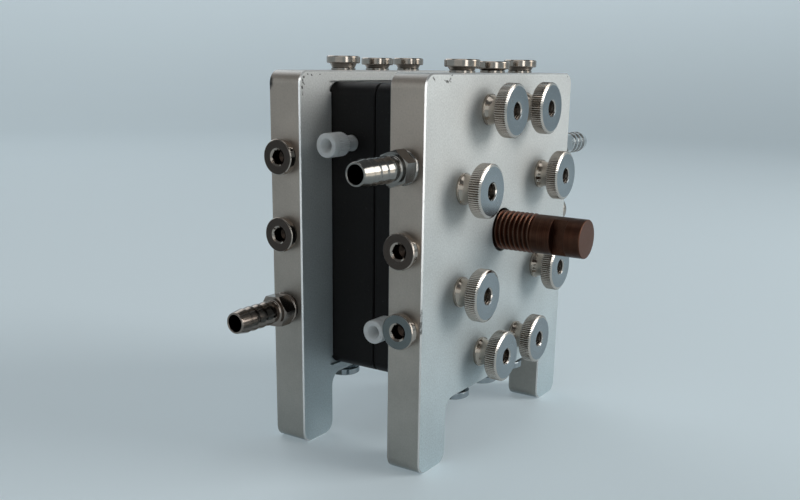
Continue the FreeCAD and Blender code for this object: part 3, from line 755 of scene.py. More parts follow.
def hex_socket(skin, across_flats, face, depth, mouth_r):
    """Coned mouth, six-sided wall and drilled floor of a socket cut in from a face.

    The face looks towards -Z when depth is positive, and towards +Z when it is negative."""
    slope = 0.75
    drill_tip = 1.1 * MM
    way = 1 if depth > 0 else -1

    def wall(angle):
        return hexagon_radius(across_flats, angle)

    def cone(angle, inset):
        return face + way * (slope * max(0.0, mouth_r - wall(angle) - inset))

    skin.turn([(mouth_r, face)])
    skin.ring(lambda angle: wall(angle) + STEP, lambda angle: cone(angle, STEP))
    skin.ring(wall, lambda angle: cone(angle, 0.0) + way * 1.2 * STEP)
    skin.ring(wall, face + depth)
    skin.turn([(across_flats / 2 * 0.98, face + depth),
               (0.2 * MM, face + depth + way * drill_tip)])
    skin.close()


def plug_mesh(sizes, standoff, depth, material):
    """Hex socket plug: face at z = 0, the plate's edge standoff below, the tip at depth."""
    skin = Skin(96)
    flange_r = sizes.flange / 2
    thread_r = sizes.thread / 2
    neck_r = sizes.neck / 2
    flare_r = sizes.flare / 2
    mouth_r = sizes.mouth / 2
    low = -sizes.flange_height
    foot = -standoff - sizes.neck_sink
    edge = sizes.edge
    skin.turn([(thread_r - 1.1 * MM, -depth)])
    skin.close()
    skin.thread(-depth, foot, sizes.pitch, thread_r, thread_r - PORT_THREAD_DEPTH,
                start=thread_r - 0.9 * MM, end=neck_r + 2 * STEP)
    seal_top = sizes.seal_height - standoff
    under = [(neck_r, foot), (neck_r, seal_top), (flare_r - 0.75 * MM, seal_top + STEP),
             (flare_r - 0.45 * MM, (seal_top + low) / 2), (flare_r, low - STEP),
             (flare_r + 2 * STEP, low), (flange_r - edge, low), (flange_r, low + edge),
             (flange_r, -edge), (flange_r - edge, 0), (mouth_r + 3 * STEP, 0)]
    skin.turn(soften(under, 0.12 * MM))
    hex_socket(skin, sizes.socket, 0, -sizes.socket_depth, mouth_r)
    return skin.mesh("port_plug", material)


def hose_barb_mesh(sizes, material):
    """Hose connector on the plate's edge at z = 0: collar, hexagon, barbed spout, bore."""
    skin = Skin(96)
    bevel = 0.25 * MM
    root_round = 0.5 * MM
    bore_r = sizes.bore / 2
    thread_r = sizes.thread / 2
    tip_thread_r = thread_r - 0.8 * MM
    neck_r = sizes.neck / 2
    collar_r = sizes.collar / 2
    ridge_r = sizes.ridge / 2
    spout_r = sizes.spout / 2
    tip_r = sizes.tip / 2
    flat_r = sizes.hexagon / 2
    corner_r = sizes.hexagon / math.sqrt(3)
    crown_r = flat_r - 0.03 * MM
    end = -sizes.thread_length
    foot = -sizes.neck_sink
    hex_low = sizes.standoff + sizes.collar_height
    hex_high = hex_low + sizes.hexagon_height
    skin.turn([(bore_r, end), (tip_thread_r, end)])
    skin.thread(end, foot, sizes.pitch, thread_r, thread_r - PORT_THREAD_DEPTH,
                start=tip_thread_r, end=neck_r + 2 * STEP)
    edge = sizes.collar_edge
    collar = [(neck_r, foot), (neck_r, sizes.standoff), (collar_r, sizes.standoff),
              (collar_r, hex_low - edge), (collar_r - edge, hex_low), (flat_r - STEP, hex_low)]
    skin.turn(soften(collar, 0.10 * MM))

    def across(angle):
        return hexagon_radius(sizes.hexagon, angle)

    def crown(angle):
        return sizes.crown * (across(angle) - crown_r) / (corner_r - crown_r)

    skin.ring(crown_r, hex_low)
    skin.ring(across, lambda angle: hex_low + crown(angle))
    skin.ring(across, lambda angle: hex_high - crown(angle))
    skin.ring(crown_r, hex_high)
    height = hex_high + sizes.spout_length
    spout = [(flat_r - 3 * STEP, hex_high), (spout_r + root_round, hex_high),
             (spout_r, hex_high + root_round), (spout_r, height)]
    for _ in range(sizes.ridges):
        spout += [(ridge_r, height + STEP),
                  (ridge_r - 0.08 * MM, height + 0.3 * sizes.ridge_length),
                  (sizes.ridge_foot / 2, height + sizes.ridge_length)]
        height += sizes.ridge_length
    top = height + sizes.tip_length
    spout += [(ridge_r, height + STEP), (tip_r, top - bevel), (tip_r - bevel, top),
              (bore_r + 0.2 * MM, top), (bore_r, top - bevel), (bore_r, end)]
    skin.turn(soften(spout, 0.28 * MM))
    return skin.mesh("hose_barb", material)


def tube_fitting_mesh(sizes, material):
    """Finger-tight fitting on the body's edge at z = 0: neck, ribbed grip, coned mouth."""
    skin = Skin(48)
    steps_per_rib = 6
    shoulder_rise = 0.12 * MM
    cone_end = 4.0 * MM
    head_r = sizes.head / 2
    thread_r = sizes.thread / 2
    tip_thread_r = thread_r - 0.5 * MM
    neck_r = sizes.neck / 2
    shoulder_r = neck_r + shoulder_rise
    bore_r = sizes.bore / 2
    end = -sizes.thread_length
    head_low = sizes.neck_length
    shoulder = head_low - sizes.shoulder_length
    face = head_low + sizes.head_length
    band_low = face - sizes.band_length
    skin.turn([(bore_r, end), (tip_thread_r, end)])
    skin.thread(end, 0.0, sizes.pitch, thread_r, thread_r - 0.4 * MM,
                start=tip_thread_r, end=neck_r + 2 * STEP)
    skin.thread(0.0, shoulder, sizes.fine_pitch, neck_r, neck_r - 3 * STEP)
    skin.turn(soften([(neck_r, shoulder), (shoulder_r, shoulder + STEP), (shoulder_r, head_low),
                      (head_r - 0.9 * MM, head_low)], 0.1 * MM))
    grip = evenly(sizes.ribs * steps_per_rib)

    def flute(depth, inset):
        return lambda angle: head_r - inset - depth * (0.5 - 0.5 * math.cos(angle * sizes.ribs))

    for inset, rise in ((0.65 * MM, 0.0), (0.30 * MM, 0.10 * MM), (0.08 * MM, 0.35 * MM),
                        (0.0, 0.70 * MM)):
        skin.ring(flute(sizes.rib_depth, inset), head_low + rise, grip)
    for depth, height in ((sizes.rib_depth, band_low - 0.4 * MM), (0.0, band_low)):
        skin.ring(flute(depth, 0.0), height, grip)
    front = [(head_r, band_low + 0.3 * MM), (head_r, face), (sizes.mouth / 2, face),
             (bore_r + 2 * STEP, face - sizes.mouth_depth), (bore_r, face - cone_end),
             (bore_r, end)]
    skin.turn(soften(front, 0.55 * MM))
    return skin.mesh("tube_fitting", material)


def terminal_mesh(sizes, reach_in, plate_depth, material):
    """Bar on the plate's face at z = 0: inner thread, outer thread, shank, two flats."""
    skin = Skin(96)
    bevel = 0.10 * MM
    thread_r = sizes.thread / 2
    tip_r = thread_r - 1.0 * MM
    shank_r = sizes.shank / 2
    root_r = sizes.thread_root / 2
    flat = sizes.across_flats / 2
    cross = math.acos(flat / shank_r)
    thread_end = sizes.thread_end
    flats_high = sizes.flats_start + sizes.flats_length
    angles = sorted(set(evenly(skin.count) + [cross, math.pi - cross, math.pi + cross,
                                              TAU - cross]))

    def clipped(angle):
        across = abs(math.cos(angle)) * shank_r
        return shank_r if across <= flat + 1e-9 else flat / abs(math.cos(angle))

    def eased(angle):
        return shank_r if clipped(angle) == shank_r else max(shank_r - bevel, clipped(angle))

    skin.turn([(tip_r, -reach_in)])
    skin.close()
    skin.thread(-reach_in, -plate_depth, sizes.pitch, thread_r, root_r, start=tip_r)
    skin.turn([(shank_r, -plate_depth), (shank_r, -sizes.thread_sink)])
    skin.thread(-sizes.thread_sink, thread_end, sizes.pitch, thread_r, root_r, end=shank_r)
    skin.turn([(shank_r, thread_end + STEP), (shank_r, thread_end + 1.0 * MM)])
    # The flats' rings have four more points, so they start anew where the last ring lies
    skin.last = None
    for radius, height in ((shank_r, thread_end + 1.0 * MM), (shank_r, sizes.flats_start - bevel),
                           (eased, sizes.flats_start), (clipped, sizes.flats_start),
                           (clipped, flats_high), (eased, flats_high),
                           (shank_r, flats_high + bevel)):
        skin.ring(radius, height, angles)
    for inset, drop in ((0.0, 1.0), (0.45, 0.3), (1.0, 0.0)):
        skin.ring(shank_r - sizes.edge * inset, sizes.out - sizes.edge * drop, angles)
    skin.close()
    return skin.mesh("terminal", material)


# Settings that a user would change

def length(about, default):
    return FloatProperty(description=about, default=default, unit="LENGTH", precision=5)


def amount(about, default):
    return FloatProperty(description=about, default=default)


def degrees(about, default):
    return FloatProperty(description=about, default=math.radians(default), subtype="ANGLE")


def shade(about, default):
    return FloatVectorProperty(description=about, default=default, subtype="COLOR",
                               size=3, min=0.0, max=1.0)


class FlowCellFinishes(bpy.types.PropertyGroup):
    plate: shade("Blasted aluminium of the end plates", (0.60, 0.61, 0.60))
    # Milled edges of the plates: partly their own tone, partly a painted warm reflection on the
    # side faces
    milled_edge_and_warm_reflection: shade("Smooth milled edges of the end plates", (0.54, 0.455, 0.39))
    # Painted reflection of the blue ground on the plates' lower part
    painted_ground_reflection: shade("Cooler cast of the plates towards the ground", (0.79, 0.925, 1.0))
    # Bevel tones: the polished bevels' own brightness, with the rear plate's painted lighter as a
    # painted highlight
    bevel: shade("Bright bevel round the front plate", (0.70, 0.70, 0.69))
    rear_bevel_painted_highlight: shade("Brighter bevel round the rear plate", (0.97, 0.97, 0.96))
    # Knocks and chips are real marks; their dark colour is painted shade in their hollows
    bruise: shade("Dark bottom of scratches and chips", (0.025, 0.020, 0.018))
    body: shade("Black plastic of the half cells", (0.0078, 0.0068, 0.0068))
    body_lines: shade("Lighter cutter lines on the plastic", (0.0115, 0.0105, 0.0105))
    dust: shade("Dust specks on the plastic", (0.045, 0.045, 0.045))
    copper: shade("Oxidised copper of the terminals", (0.080, 0.035, 0.022))
    copper_dark: shade("Darkest oxide", (0.036, 0.014, 0.009))
    copper_thread: shade("Redder copper in the thread", (0.085, 0.027, 0.014))
    copper_worn: shade("Crests and handled patches", (0.120, 0.078, 0.058))
    copper_end: shade("Faced end of the terminals", (0.118, 0.046, 0.025))
    nut: shade("Nickel plate of the hand nuts", (0.50, 0.46, 0.42))
    # Painted reflection of the blue ground, on the nuts' faces and over the bottom plugs; the nuts'
    # faces are also rougher
    painted_blue_reflection: shade("Duller faces of the hand nuts", (0.29, 0.325, 0.345))
    # Painted dark reflection on the nuts' waisted necks
    nut_neck_dark_reflection: shade("Darker necks of the hand nuts", (0.40, 0.35, 0.30))
    # Painted shade on the thread inside the nuts' holes
    nut_hole_shade: shade("Thread in the hand nuts", (0.17, 0.145, 0.125))
    # Painted shade between the knurl's teeth
    groove: shade("Dirt between the knurl's teeth", (0.27, 0.235, 0.205))
    plug: shade("Nickel plate of the port plugs", (0.37, 0.325, 0.285))
    # Painted dark reflection on the faces of the plugs in the side edges
    plug_face: shade("Tarnished faces of the plugs in the side edges", (0.075, 0.060, 0.052))
    # Painted reflection of the blue ground on the faces of the front plate's lower side plugs
    low_plug_ground_reflection: shade("Greyer faces of the front plate's lower ones", (0.145, 0.160, 0.160))
    # Painted shade on the walls of the plugs' sockets
    hollow: shade("Walls of the plugs' sockets", (0.035, 0.025, 0.020))
    seal_ring: shade("Thin rings under the plugs and barbs", (0.30, 0.27, 0.24))
    # The three barb tones are lit and shaded copies of one nickel plate: painted reflections,
    # darkest on the left barbs and lightest on the right ones
    barb: shade("Nickel plate of the front left hose barb", (0.23, 0.22, 0.205))
    right_barb_bright_reflection: shade("Nickel plate of the right hose barbs", (0.46, 0.48, 0.485))
    rear_barb_dark_reflection: shade("Tarnished plate of the rear left hose barb", (0.24, 0.205, 0.18))
    steel: shade("Stainless steel of the tie rods and washers", (0.50, 0.49, 0.47))
    white_plastic: shade("Natural plastic of the tube fittings", (0.90, 0.91, 0.91))
    thin_plastic: shade("Thin neck of the tube fittings", (0.55, 0.56, 0.56))
    rubber: shade("Seal rings and gaskets", (0.012, 0.012, 0.013))
    graphite: shade("Electrodes", (0.05, 0.05, 0.052))
    collector: shade("Bright copper of the current collectors", (0.72, 0.40, 0.26))
    film: shade("Separator membrane", (0.03, 0.03, 0.03))


class FlowCellNut(bpy.types.PropertyGroup):
    head: length("Diameter over the knurl", length_along("thumb_nut_1", UP))
    height: length("Base to face", length_along("thumb_nut_1", FRONT))
    head_height: length("Height of the knurled head", 5.0 * MM)
    edge: length("Bevel under the head", 0.5 * MM)
    bevel_width: length("Bevel of the face, across", 1.1 * MM)
    bevel_height: length("Bevel of the face, along the axis", 0.6 * MM)
    base: length("Diameter of the base ring", 11.8 * MM)
    base_height: length("Height of the base ring", 1.0 * MM)
    collar: length("Diameter of the neck at its ends", 11.2 * MM)
    waist: length("Diameter of the neck at its middle", 9.9 * MM)
    hole: length("Diameter of the threaded hole", 6.0 * MM)
    lip: length("Bevel at the mouths of the hole", 0.45 * MM)
    pitch: length("Pitch of the thread in the hole", 1.0 * MM)
    thread_depth: length("Depth of the thread in the hole", 0.42 * MM)
    knurl_depth: length("Depth of the straight knurl", 0.45 * MM)
    teeth: IntProperty(description="Teeth of the straight knurl", default=72)


class FlowCellRod(bpy.types.PropertyGroup):
    head: length("Diameter of the cap screw's head", 10.0 * MM)
    head_height: length("Height of the head", 6.0 * MM)
    rod: length("Diameter of the shank", 5.9 * MM)
    pitch: length("Pitch of the thread", 1.0 * MM)
    thread_length: length("Cut thread at the far end", 10.0 * MM)
    socket: length("Across flats of the hex socket", 5.0 * MM)


class FlowCellPlug(bpy.types.PropertyGroup):
    flange: length("Diameter of the flange", length_along("front_left_plug_1", UP))
    flange_height: length("Thickness of the flange", 2.9 * MM)
    edge: length("Bevel of the flange", 0.35 * MM)
    neck: length("Diameter of the neck below the flange", 8.4 * MM)
    neck_sink: length("Reach of the neck into the port", 1.2 * MM)
    seal_height: length("Top of the thin ring on the plate's edge", 0.85 * MM)
    flare: length("Diameter of the neck right under the flange", 10.7 * MM)
    thread: length("Outer diameter of the thread", 9.7 * MM)
    pitch: length("Pitch of the port thread", 0.907 * MM)
    socket: length("Across flats of the hex socket", 5.0 * MM)
    socket_depth: length("Depth of the socket", 4.2 * MM)
    mouth: length("Diameter of the socket's coned mouth", 7.0 * MM)


class FlowCellBarb(bpy.types.PropertyGroup):
    standoff: length("Neck between the plate and the collar", 1.9 * MM)
    neck: length("Diameter of that neck", 8.4 * MM)
    neck_sink: length("Reach of the neck into the port", 1.2 * MM)
    collar: length("Diameter of the collar", 12.6 * MM)
    collar_height: length("Thickness of the collar", 1.1 * MM)
    collar_edge: length("Bevel of the collar", 0.4 * MM)
    hexagon: length("Across flats", 11.6 * MM)
    hexagon_height: length("Length of the hexagon", 6.0 * MM)
    crown: length("Turned crown at both ends of the hexagon", 0.48 * MM)
    spout: length("Diameter of the spout behind the ridges", 8.0 * MM)
    spout_length: length("Plain stretch behind the ridges", 3.6 * MM)
    ridge: length("Outer diameter of the ridges", 9.5 * MM)
    ridge_foot: length("Small end of each ridge", 8.3 * MM)
    ridge_length: length("Length of each ridge", 4.2 * MM)
    ridges: IntProperty(description="Ridges behind the tip cone", default=3)
    tip: length("Outer diameter at the tip", 8.0 * MM)
    tip_length: length("Length of the tip cone", 4.9 * MM)
    bore: length("Diameter of the bore", 6.4 * MM)
    thread: length("Outer diameter of the port thread", 9.7 * MM)
    thread_length: length("Thread inside the port", 7.0 * MM)
    pitch: length("Pitch of the port thread", 0.907 * MM)


class FlowCellFitting(bpy.types.PropertyGroup):
    head: length("Diameter of the grip", length_along("rear_left_tube_fitting", UP))
    head_length: length("Length of the grip", 9.6 * MM)
    band_length: length("Plain band at the mouth", 3.0 * MM)
    ribs: IntProperty(description="Ribs round the grip", default=32)
    rib_depth: length("Depth between the ribs", 0.32 * MM)
    neck: length("Diameter of the neck outside the port", 6.0 * MM)
    neck_length: length("Neck that stands out of the port", 6.2 * MM)
    shoulder_length: length("Plain shoulder under the grip", 1.4 * MM)
    fine_pitch: length("Rings of the neck", 0.6 * MM)
    thread: length("Outer diameter of the thread", 6.35 * MM)
    thread_length: length("Thread inside the port", 5.9 * MM)
    pitch: length("Pitch of the thread", 0.907 * MM)
    mouth: length("Diameter of the coned mouth", 5.2 * MM)
    mouth_depth: length("Depth of the coned mouth", 3.0 * MM)
    bore: length("Diameter of the bore", 3.6 * MM)


class FlowCellTerminal(bpy.types.PropertyGroup):
    thread: length("Outer diameter of the thread", 15.7 * MM)
    thread_root: length("Diameter at the root of the thread", 13.7 * MM)
    thread_sink: length("Thread inside the plate's hole", 0.5 * MM)
    thread_end: length("Thread outside the plate", 15.4 * MM)
    pitch: length("Pitch of the thread", 2.0 * MM)
    shank: length("Diameter of the plain shank", 15.2 * MM)
    flats_start: length("Plate to the two flats", 23.6 * MM)
    flats_length: length("Width of the flats", 6.0 * MM)
    across_flats: length("Thickness between the flats", 6.5 * MM)
    out: length("Plate to the end of the bar", 36.1 * MM)
    edge: length("Small bevel of the end", 0.25 * MM)


class FlowCellStage(bpy.types.PropertyGroup):
    camera_place: FloatVectorProperty(description="Camera position", subtype="TRANSLATION",
                                      default=(-0.33026, -0.2039, 0.14967))
    yaw: degrees("Camera's turn from +Y towards +X", 57.253)
    pitch: degrees("How far the camera looks down", 15.350)
    roll: degrees("Camera's roll", -0.965)
    lens: amount("Focal length in millimetres on a 36 mm sensor", 41.75)
    shift_x: amount("Sideways lens shift", -0.0135)
    shift_y: amount("Upward lens shift", 0.0842)
    floor: shade("Colour of the floor and the cove", (0.59, 0.68, 0.725))
    floor_glow: amount("How pale the floor looks beyond the lamps' light", 0.28)
    wall_glow: amount("The same for the cove's wall, which the lamps miss", 0.62)
    glow_height: length("Height where the wall's glow is reached", 0.4)
    floor_radius: length("Flat part of the floor", 1.6)
    cove_radius: length("Bend from the floor to the wall", 0.8)
    wall_height: length("Top of the cove's wall", 1.5)
    sky: shade("Even light from above the cove", (0.80, 0.86, 0.90))
    sky_light: amount("Light that the sky gives", 0.06)
    sky_look: amount("How light the sky looks, directly and in metal", 0.16)
    lamps: BoolProperty(description="Add the soft lamps", default=True)


# Operators

class FLOWCELL_OT_stage(bpy.types.Operator):
    """Build the pale floor and cove, the soft lamps and the camera"""

    bl_idname = "flow_cell.stage"
    bl_label = "Stage"

    def execute(self, context):
        stage = context.scene.flow_cell_stage
        context.scene.view_settings.view_transform = "Standard"
        self.add_cove(stage)
        self.add_sky(context, stage)
        if stage.lamps:
            self.add_lamps()
        self.add_camera(context, stage)
        return {"FINISHED"}

    def add_cove(self, stage):
        """Round floor whose rim bends up into a wall, so that every view has a plain ground."""
        middle_radius = 0.3
        bend_steps = 12
        cloud_scale = 3.0
        radius = stage.floor_radius
        bend = stage.cove_radius
        skin = Skin(96)
        skin.ring(middle_radius, 0.0)
        skin.close()
        for step in range(bend_steps + 1):
            turn = TAU / 4 * step / bend_steps
            skin.ring(radius + bend * math.sin(turn), bend * (1 - math.cos(turn)))
        skin.ring(radius + bend, stage.wall_height)
        finish = Finish("floor_finish", roughness=0.6, Specular_IOR_Level=0.2)
        g = finish.g
        cloud = g.noise(finish.place, cloud_scale)
        finish.base(g.blend(cloud, colour(stage.floor), colour(stage.floor, 1.03)))
        finish.shader.inputs["Emission Color"].default_value = colour(stage.floor)
        glow = g.spread(g.height(finish.place), 0.0, stage.glow_height, stage.floor_glow,
                        stage.wall_glow)
        g.put(g.times(seen_rays(g), glow), finish.shader.inputs["Emission Strength"])
        floor = bpy.data.objects.new("floor", skin.mesh("floor", finish.material))
        bpy.context.scene.collection.objects.link(floor)

    def add_sky(self, context, stage):
        """Faint even light from above the cove; the camera and the metal see it a bit lighter."""
        world = bpy.data.worlds.new("even_sky")
        world.use_nodes = True
        g = Graph(world.node_tree)
        background = world.node_tree.nodes["Background"]
        background.inputs["Color"].default_value = colour(stage.sky)
        g.put(g.spread(seen_rays(g), 0.0, 1.0, stage.sky_light, stage.sky_look),
              background.inputs["Strength"])
        context.scene.world = world

    def add_lamps(self):
        """Key from the front right, three soft fills, and two cards that only metal shows."""
        # Name, place, size, watts, colour, and whether it lights what isn't metal
        lamps = (
            ("key", (0.62, -1.22, 0.67), (0.80, 0.80), 11.5, (1.0, 0.985, 0.96), True),
            ("left_fill", (-1.30, -0.10, 0.58), (1.40, 1.00), 1.3, (1.0, 0.88, 0.78), True),
            ("top", (-0.05, 0.05, 1.70), (0.90, 0.90), 3.0, (0.97, 0.99, 1.0), True),
            ("rear_fill", (0.60, 1.40, 1.35), (1.20, 1.20), 7.0, (0.97, 0.99, 1.0), True),
            ("white_card", (-0.26, -0.39, 0.21), (0.12, 0.60), 0.66, (1.0, 0.99, 0.97), False),
            ("warm_card", (0.19, -0.43, 0.21), (0.10, 0.40), 0.22, (1.0, 0.88, 0.72), False),
        )
        middle = (CAD_LOW + CAD_HIGH) / 2
        for name, place, size, power, tone, lights in lamps:
            light = bpy.data.lights.new(name, "AREA")
            light.shape = "RECTANGLE"
            light.size, light.size_y = size
            light.energy = power
            light.color = tone
            lamp = bpy.data.objects.new(name, light)
            lamp.location = place
            lamp.rotation_mode = "QUATERNION"
            aim = middle - Vector(place)
            if not lights:
                aim.z = 0.0
            lamp.rotation_quaternion = aim.to_track_quat("-Z", "Y")
            lamp.visible_camera = False
            lamp.visible_diffuse = lights
            bpy.context.scene.collection.objects.link(lamp)

    def add_camera(self, context, stage):
        camera = bpy.data.objects.new("camera", bpy.data.cameras.new("camera"))
        camera.data.sensor_width = 36.0
        camera.data.lens = stage.lens
        camera.data.shift_x = stage.shift_x
        camera.data.shift_y = stage.shift_y
        camera.data.clip_start = 0.01
        ahead = Vector((math.sin(stage.yaw) * math.cos(stage.pitch),
                        math.cos(stage.yaw) * math.cos(stage.pitch), -math.sin(stage.pitch)))
        level = Vector((math.cos(stage.yaw), -math.sin(stage.yaw), 0.0))
        down = ahead.cross(level)
        right = level * math.cos(stage.roll) + down * math.sin(stage.roll)
        up = level * math.sin(stage.roll) - down * math.cos(stage.roll)
        turn = Matrix((right, up, -ahead)).transposed()
        camera.matrix_world = Matrix.Translation(stage.camera_place) @ turn.to_4x4()
        context.scene.collection.objects.link(camera)
        context.scene.camera = camera


class FLOWCELL_OT_plates(bpy.types.Operator):
    """Finish the two end plates"""

    bl_idname = "flow_cell.plates"
    bl_label = "End Plates"

    def execute(self, context):
        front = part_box("front_end_plate")[0].y
        rear, edge = (corner.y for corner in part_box("rear_end_plate"))
        front_marks = strokes(FRONT_KNOCKS, front, front)
        rear_marks = (strokes(REAR_KNOCKS, rear, rear)
                      + strokes([CHIP_TOP], edge - 0.3 * MM, edge - 0.3 * MM)
                      + strokes([CHIP_FOOT], edge - 0.1 * MM, edge))
        tints = context.scene.flow_cell_finishes
        finish_node("front_end_plate",
                    aluminium_finish("front_plate_finish", tints.bevel, front_marks))
        finish_node("rear_end_plate",
                    aluminium_finish("rear_plate_finish", tints.rear_bevel_painted_highlight, rear_marks))
        return {"FINISHED"}


class FLOWCELL_OT_cell_body(bpy.types.Operator):
    """Finish the half cells, the membrane and the stack inside them"""

    bl_idname = "flow_cell.cell_body"
    bl_label = "Cell Body"

    def execute(self, context):
        tints = context.scene.flow_cell_finishes
        plastic = black_plastic_finish("body_finish")
        rubber = plain_finish("seal_finish", tints.rubber, 0.5)
        ring = plain_finish("seal_ring_finish", tints.seal_ring, 0.2, 1.0)
        graphite = plain_finish("graphite_finish", tints.graphite, 0.55, 0.3)
        copper = plain_finish("collector_finish", tints.collector, 0.3, 1.0)
        for side in ("front", "rear"):
            finish_node(side + "_half_cell", plastic)
            finish_node(side + "_electrode", graphite)
            finish_node(side + "_current_collector", copper)
            finish_node(side + "_gasket", rubber)
            finish_node(side + "_terminal_seal", rubber)
            finish_node(side + "_port_seals", ring)
        finish_node("membrane", plain_finish("membrane_finish", tints.film, 0.6))
        return {"FINISHED"}


class FLOWCELL_OT_terminals(bpy.types.Operator):
    """Build the two threaded terminals"""

    bl_idname = "flow_cell.terminals"
    bl_label = "Terminals"

    def execute(self, context):
        sizes = context.scene.flow_cell_terminal
        copper = oxidised_copper_finish("terminal_finish")
        for side in ("front", "rear"):
            node = side + "_terminal"
            way = OUTWARD[side]
            reach_in = length_along(node, way) - sizes.out
            to_body = (outer_end(side + "_end_plate", way)
                       - outer_end(side + "_half_cell", way)).dot(way)
            mesh = terminal_mesh(sizes, reach_in, to_body, copper)
            dress(side + "_terminal_bar", mesh, node, way, sizes.out)
        return {"FINISHED"}


class FLOWCELL_OT_tie_rods(bpy.types.Operator):
    """Build the tie rods, and finish the washers under their heads"""

    bl_idname = "flow_cell.tie_rods"
    bl_label = "Tie Rods"

    def execute(self, context):
        sizes = context.scene.flow_cell_rod
        tints = context.scene.flow_cell_finishes
        steel = turned_metal_finish("rod_finish", tints.steel, 0.30)
        finish_node("rod_washers", steel)
        rod_low, rod_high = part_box("tie_rods")
        reach = rod_high.y - rod_low.y - sizes.head_height
        mesh = tie_rod_mesh(sizes, reach, steel)
        turns = random.Random(5)
        for number in range(1, 9):
            tip = outer_end("thumb_nut_%d" % number, FRONT)
            tip.y = rod_low.y
            dress("tie_rod_%d" % number, mesh, "tie_rods", FRONT, reach,
                  turns.uniform(0, TAU), tip)
        return {"FINISHED"}


class FLOWCELL_OT_thumb_nuts(bpy.types.Operator):
    """Build the eight hand nuts"""

    bl_idname = "flow_cell.thumb_nuts"
    bl_label = "Hand Nuts"

    def execute(self, context):
        sizes = context.scene.flow_cell_nut
        tints = context.scene.flow_cell_finishes
        head_low = sizes.height - sizes.head_height
        root_r = sizes.head / 2 - sizes.knurl_depth
        hole_r = sizes.hole / 2
        # Painted light on the nuts: reflections on the faces and necks, shade in the knurl's
        # grooves and in the threaded holes
        zones = (
            (tints.painted_blue_reflection, 0.24, sizes.height - 0.06 * MM, FAR,
             0.0, sizes.head / 2 - sizes.bevel_width),
            (tints.groove, 0.24, head_low, sizes.height - sizes.bevel_height,
             root_r - 0.10 * MM, root_r + 0.5 * sizes.knurl_depth),
            (tints.nut_neck_dark_reflection, 0.13, -FAR, head_low, hole_r + sizes.lip, sizes.collar),
            (tints.nut_hole_shade, 0.25, -FAR, sizes.height - sizes.lip, 0.0, hole_r + sizes.lip),
        )
        nickel = turned_metal_finish("nut_finish", tints.nut, 0.13, zones, 0.08)
        mesh = thumb_nut_mesh(sizes, nickel)
        turns = random.Random(11)
        for number in range(1, 9):
            dress("hand_nut_%d" % number, mesh, "thumb_nut_%d" % number, FRONT, sizes.height,
                  turns.uniform(0, TAU))
        return {"FINISHED"}


class FLOWCELL_OT_plugs(bpy.types.Operator):
    """Build the hex socket plugs of both plates"""

    bl_idname = "flow_cell.plugs"
    bl_label = "Port Plugs"

    def execute(self, context):
        tints = context.scene.flow_cell_finishes
        sizes = context.scene.flow_cell_plug
        # Painted light on the plugs: shade in the sockets, dark and ground reflections on the side
        # plugs' faces, and a ground reflection over the bottom plugs
        socket = (tints.hollow, 0.20, -FAR, -0.62 * MM, 0.0, sizes.mouth / 2)
        flat = (0.20, -0.03 * MM, FAR, 0.0, sizes.flange / 2 - sizes.edge)
        looks = {"top": (tints.plug, ()), "bottom": (tints.painted_blue_reflection, ()),
                 "brown": (tints.plug, ((tints.plug_face,) + flat,)),
                 "grey": (tints.plug, ((tints.low_plug_ground_reflection,) + flat,))}
        finishes = {look: turned_metal_finish(look + "_plug_finish", tone, 0.13, (socket,) + face)
                    for look, (tone, face) in looks.items()}
        turns = random.Random(23)
        for node in sorted(NODES):
            if "_plug_" not in node:
                continue
            plate, edge = node.split("_")[:2]
            way = OUTWARD[edge]
            face = outer_end(node, way)
            standoff = (face - outer_end(plate + "_end_plate", way)).dot(way)
            if edge == "bottom":
                standoff += UNDERSIDE
            look = edge
            if edge in ("left", "right"):
                look = "grey" if plate == "front" and node.endswith("2") else "brown"
            mesh = plug_mesh(sizes, standoff, length_along(node, way), finishes[look])
            dress(node + "_turned", mesh, node, way, 0.0, turns.uniform(0, TAU))
        return {"FINISHED"}


class FLOWCELL_OT_hose_barbs(bpy.types.Operator):
    """Build the four hose barbs"""

    bl_idname = "flow_cell.hose_barbs"
    bl_label = "Hose Barbs"

    def execute(self, context):
        sizes = context.scene.flow_cell_barb
        tints = context.scene.flow_cell_finishes
        # Each barb gets its own copy of the nickel, tinted as a painted reflection
        looks = (("front_left", tints.barb, -10.0), ("front_right", tints.right_barb_bright_reflection, -10.0),
                 ("rear_left", tints.rear_barb_dark_reflection, -25.0), ("rear_right", tints.right_barb_bright_reflection, -25.0))
        for label, tone, roll in looks:
            nickel = turned_metal_finish(label + "_barb_finish", tone, 0.15)
            node = label + "_hose_barb"
            way = OUTWARD[label.split("_")[1]]
            out = length_along(node, way) - sizes.thread_length
            dress(node + "_turned", hose_barb_mesh(sizes, nickel), node, way, out,
                  math.radians(roll))
        return {"FINISHED"}


class FLOWCELL_OT_tube_fittings(bpy.types.Operator):
    """Build the four finger-tight tube fittings, and finish their ferrules"""

    bl_idname = "flow_cell.tube_fittings"
    bl_label = "Tube Fittings"

    def execute(self, context):
        sizes = context.scene.flow_cell_fitting
        plastic = white_plastic_finish("fitting_finish", sizes.neck_length)
        mesh = tube_fitting_mesh(sizes, plastic)
        ferrule = white_plastic_finish("ferrule_finish")
        out = sizes.neck_length + sizes.head_length
        turns = random.Random(31)
        for side in ("front", "rear"):
            for hand in ("left", "right"):
                label = "%s_%s" % (side, hand)
                node = label + "_tube_fitting"
                dress(node + "_moulded", mesh, node, OUTWARD[hand], out,
                      turns.uniform(0, TAU))
                finish_node(label + "_ferrule", ferrule)
        return {"FINISHED"}


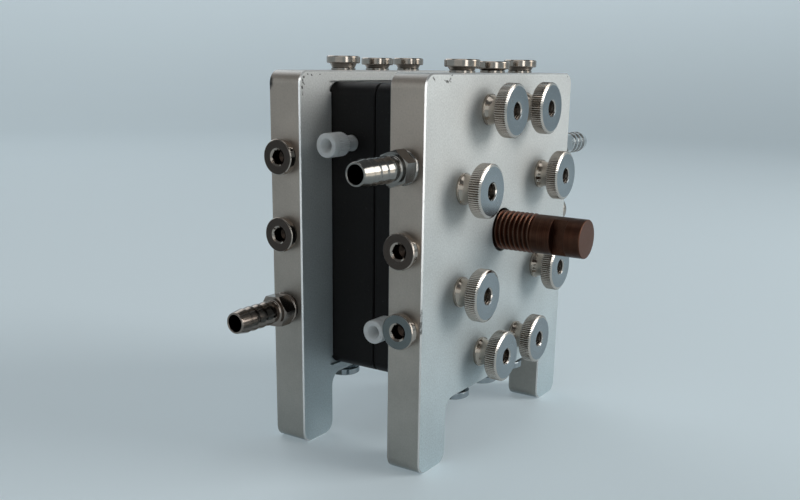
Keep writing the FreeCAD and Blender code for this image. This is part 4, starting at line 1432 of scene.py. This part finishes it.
OPERATORS = (FLOWCELL_OT_stage, FLOWCELL_OT_plates, FLOWCELL_OT_cell_body,
             FLOWCELL_OT_terminals, FLOWCELL_OT_tie_rods, FLOWCELL_OT_thumb_nuts,
             FLOWCELL_OT_plugs, FLOWCELL_OT_hose_barbs, FLOWCELL_OT_tube_fittings)


class FLOWCELL_PT_sidebar(bpy.types.Panel):
    """Buttons that build the flow cell, piece by piece"""

    bl_label = "Flow Cell"
    bl_idname = "FLOWCELL_PT_sidebar"
    bl_space_type = "VIEW_3D"
    bl_region_type = "UI"
    bl_category = "Flow Cell"

    def draw(self, context):
        for operator in OPERATORS:
            self.layout.operator(operator.bl_idname)


SETTINGS = {"flow_cell_finishes": FlowCellFinishes, "flow_cell_nut": FlowCellNut,
            "flow_cell_rod": FlowCellRod, "flow_cell_plug": FlowCellPlug,
            "flow_cell_barb": FlowCellBarb, "flow_cell_fitting": FlowCellFitting,
            "flow_cell_terminal": FlowCellTerminal, "flow_cell_stage": FlowCellStage}


def register():
    for name, group in SETTINGS.items():
        for word, setting in group.__annotations__.items():
            setting.keywords["name"] = word.replace("_", " ").title()
        bpy.utils.register_class(group)
        setattr(bpy.types.Scene, name, PointerProperty(type=group))
    for operator in OPERATORS:
        bpy.utils.register_class(operator)
    bpy.utils.register_class(FLOWCELL_PT_sidebar)


def unregister():
    bpy.utils.unregister_class(FLOWCELL_PT_sidebar)
    for operator in reversed(OPERATORS):
        bpy.utils.unregister_class(operator)
    for name, group in reversed(list(SETTINGS.items())):
        delattr(bpy.types.Scene, name)
        bpy.utils.unregister_class(group)


def main():
    register()
    bpy.ops.flow_cell.stage()
    bpy.ops.flow_cell.plates()
    bpy.ops.flow_cell.cell_body()
    bpy.ops.flow_cell.terminals()
    bpy.ops.flow_cell.tie_rods()
    bpy.ops.flow_cell.thumb_nuts()
    bpy.ops.flow_cell.plugs()
    bpy.ops.flow_cell.hose_barbs()
    bpy.ops.flow_cell.tube_fittings()


if __name__ == "__main__":
    main()
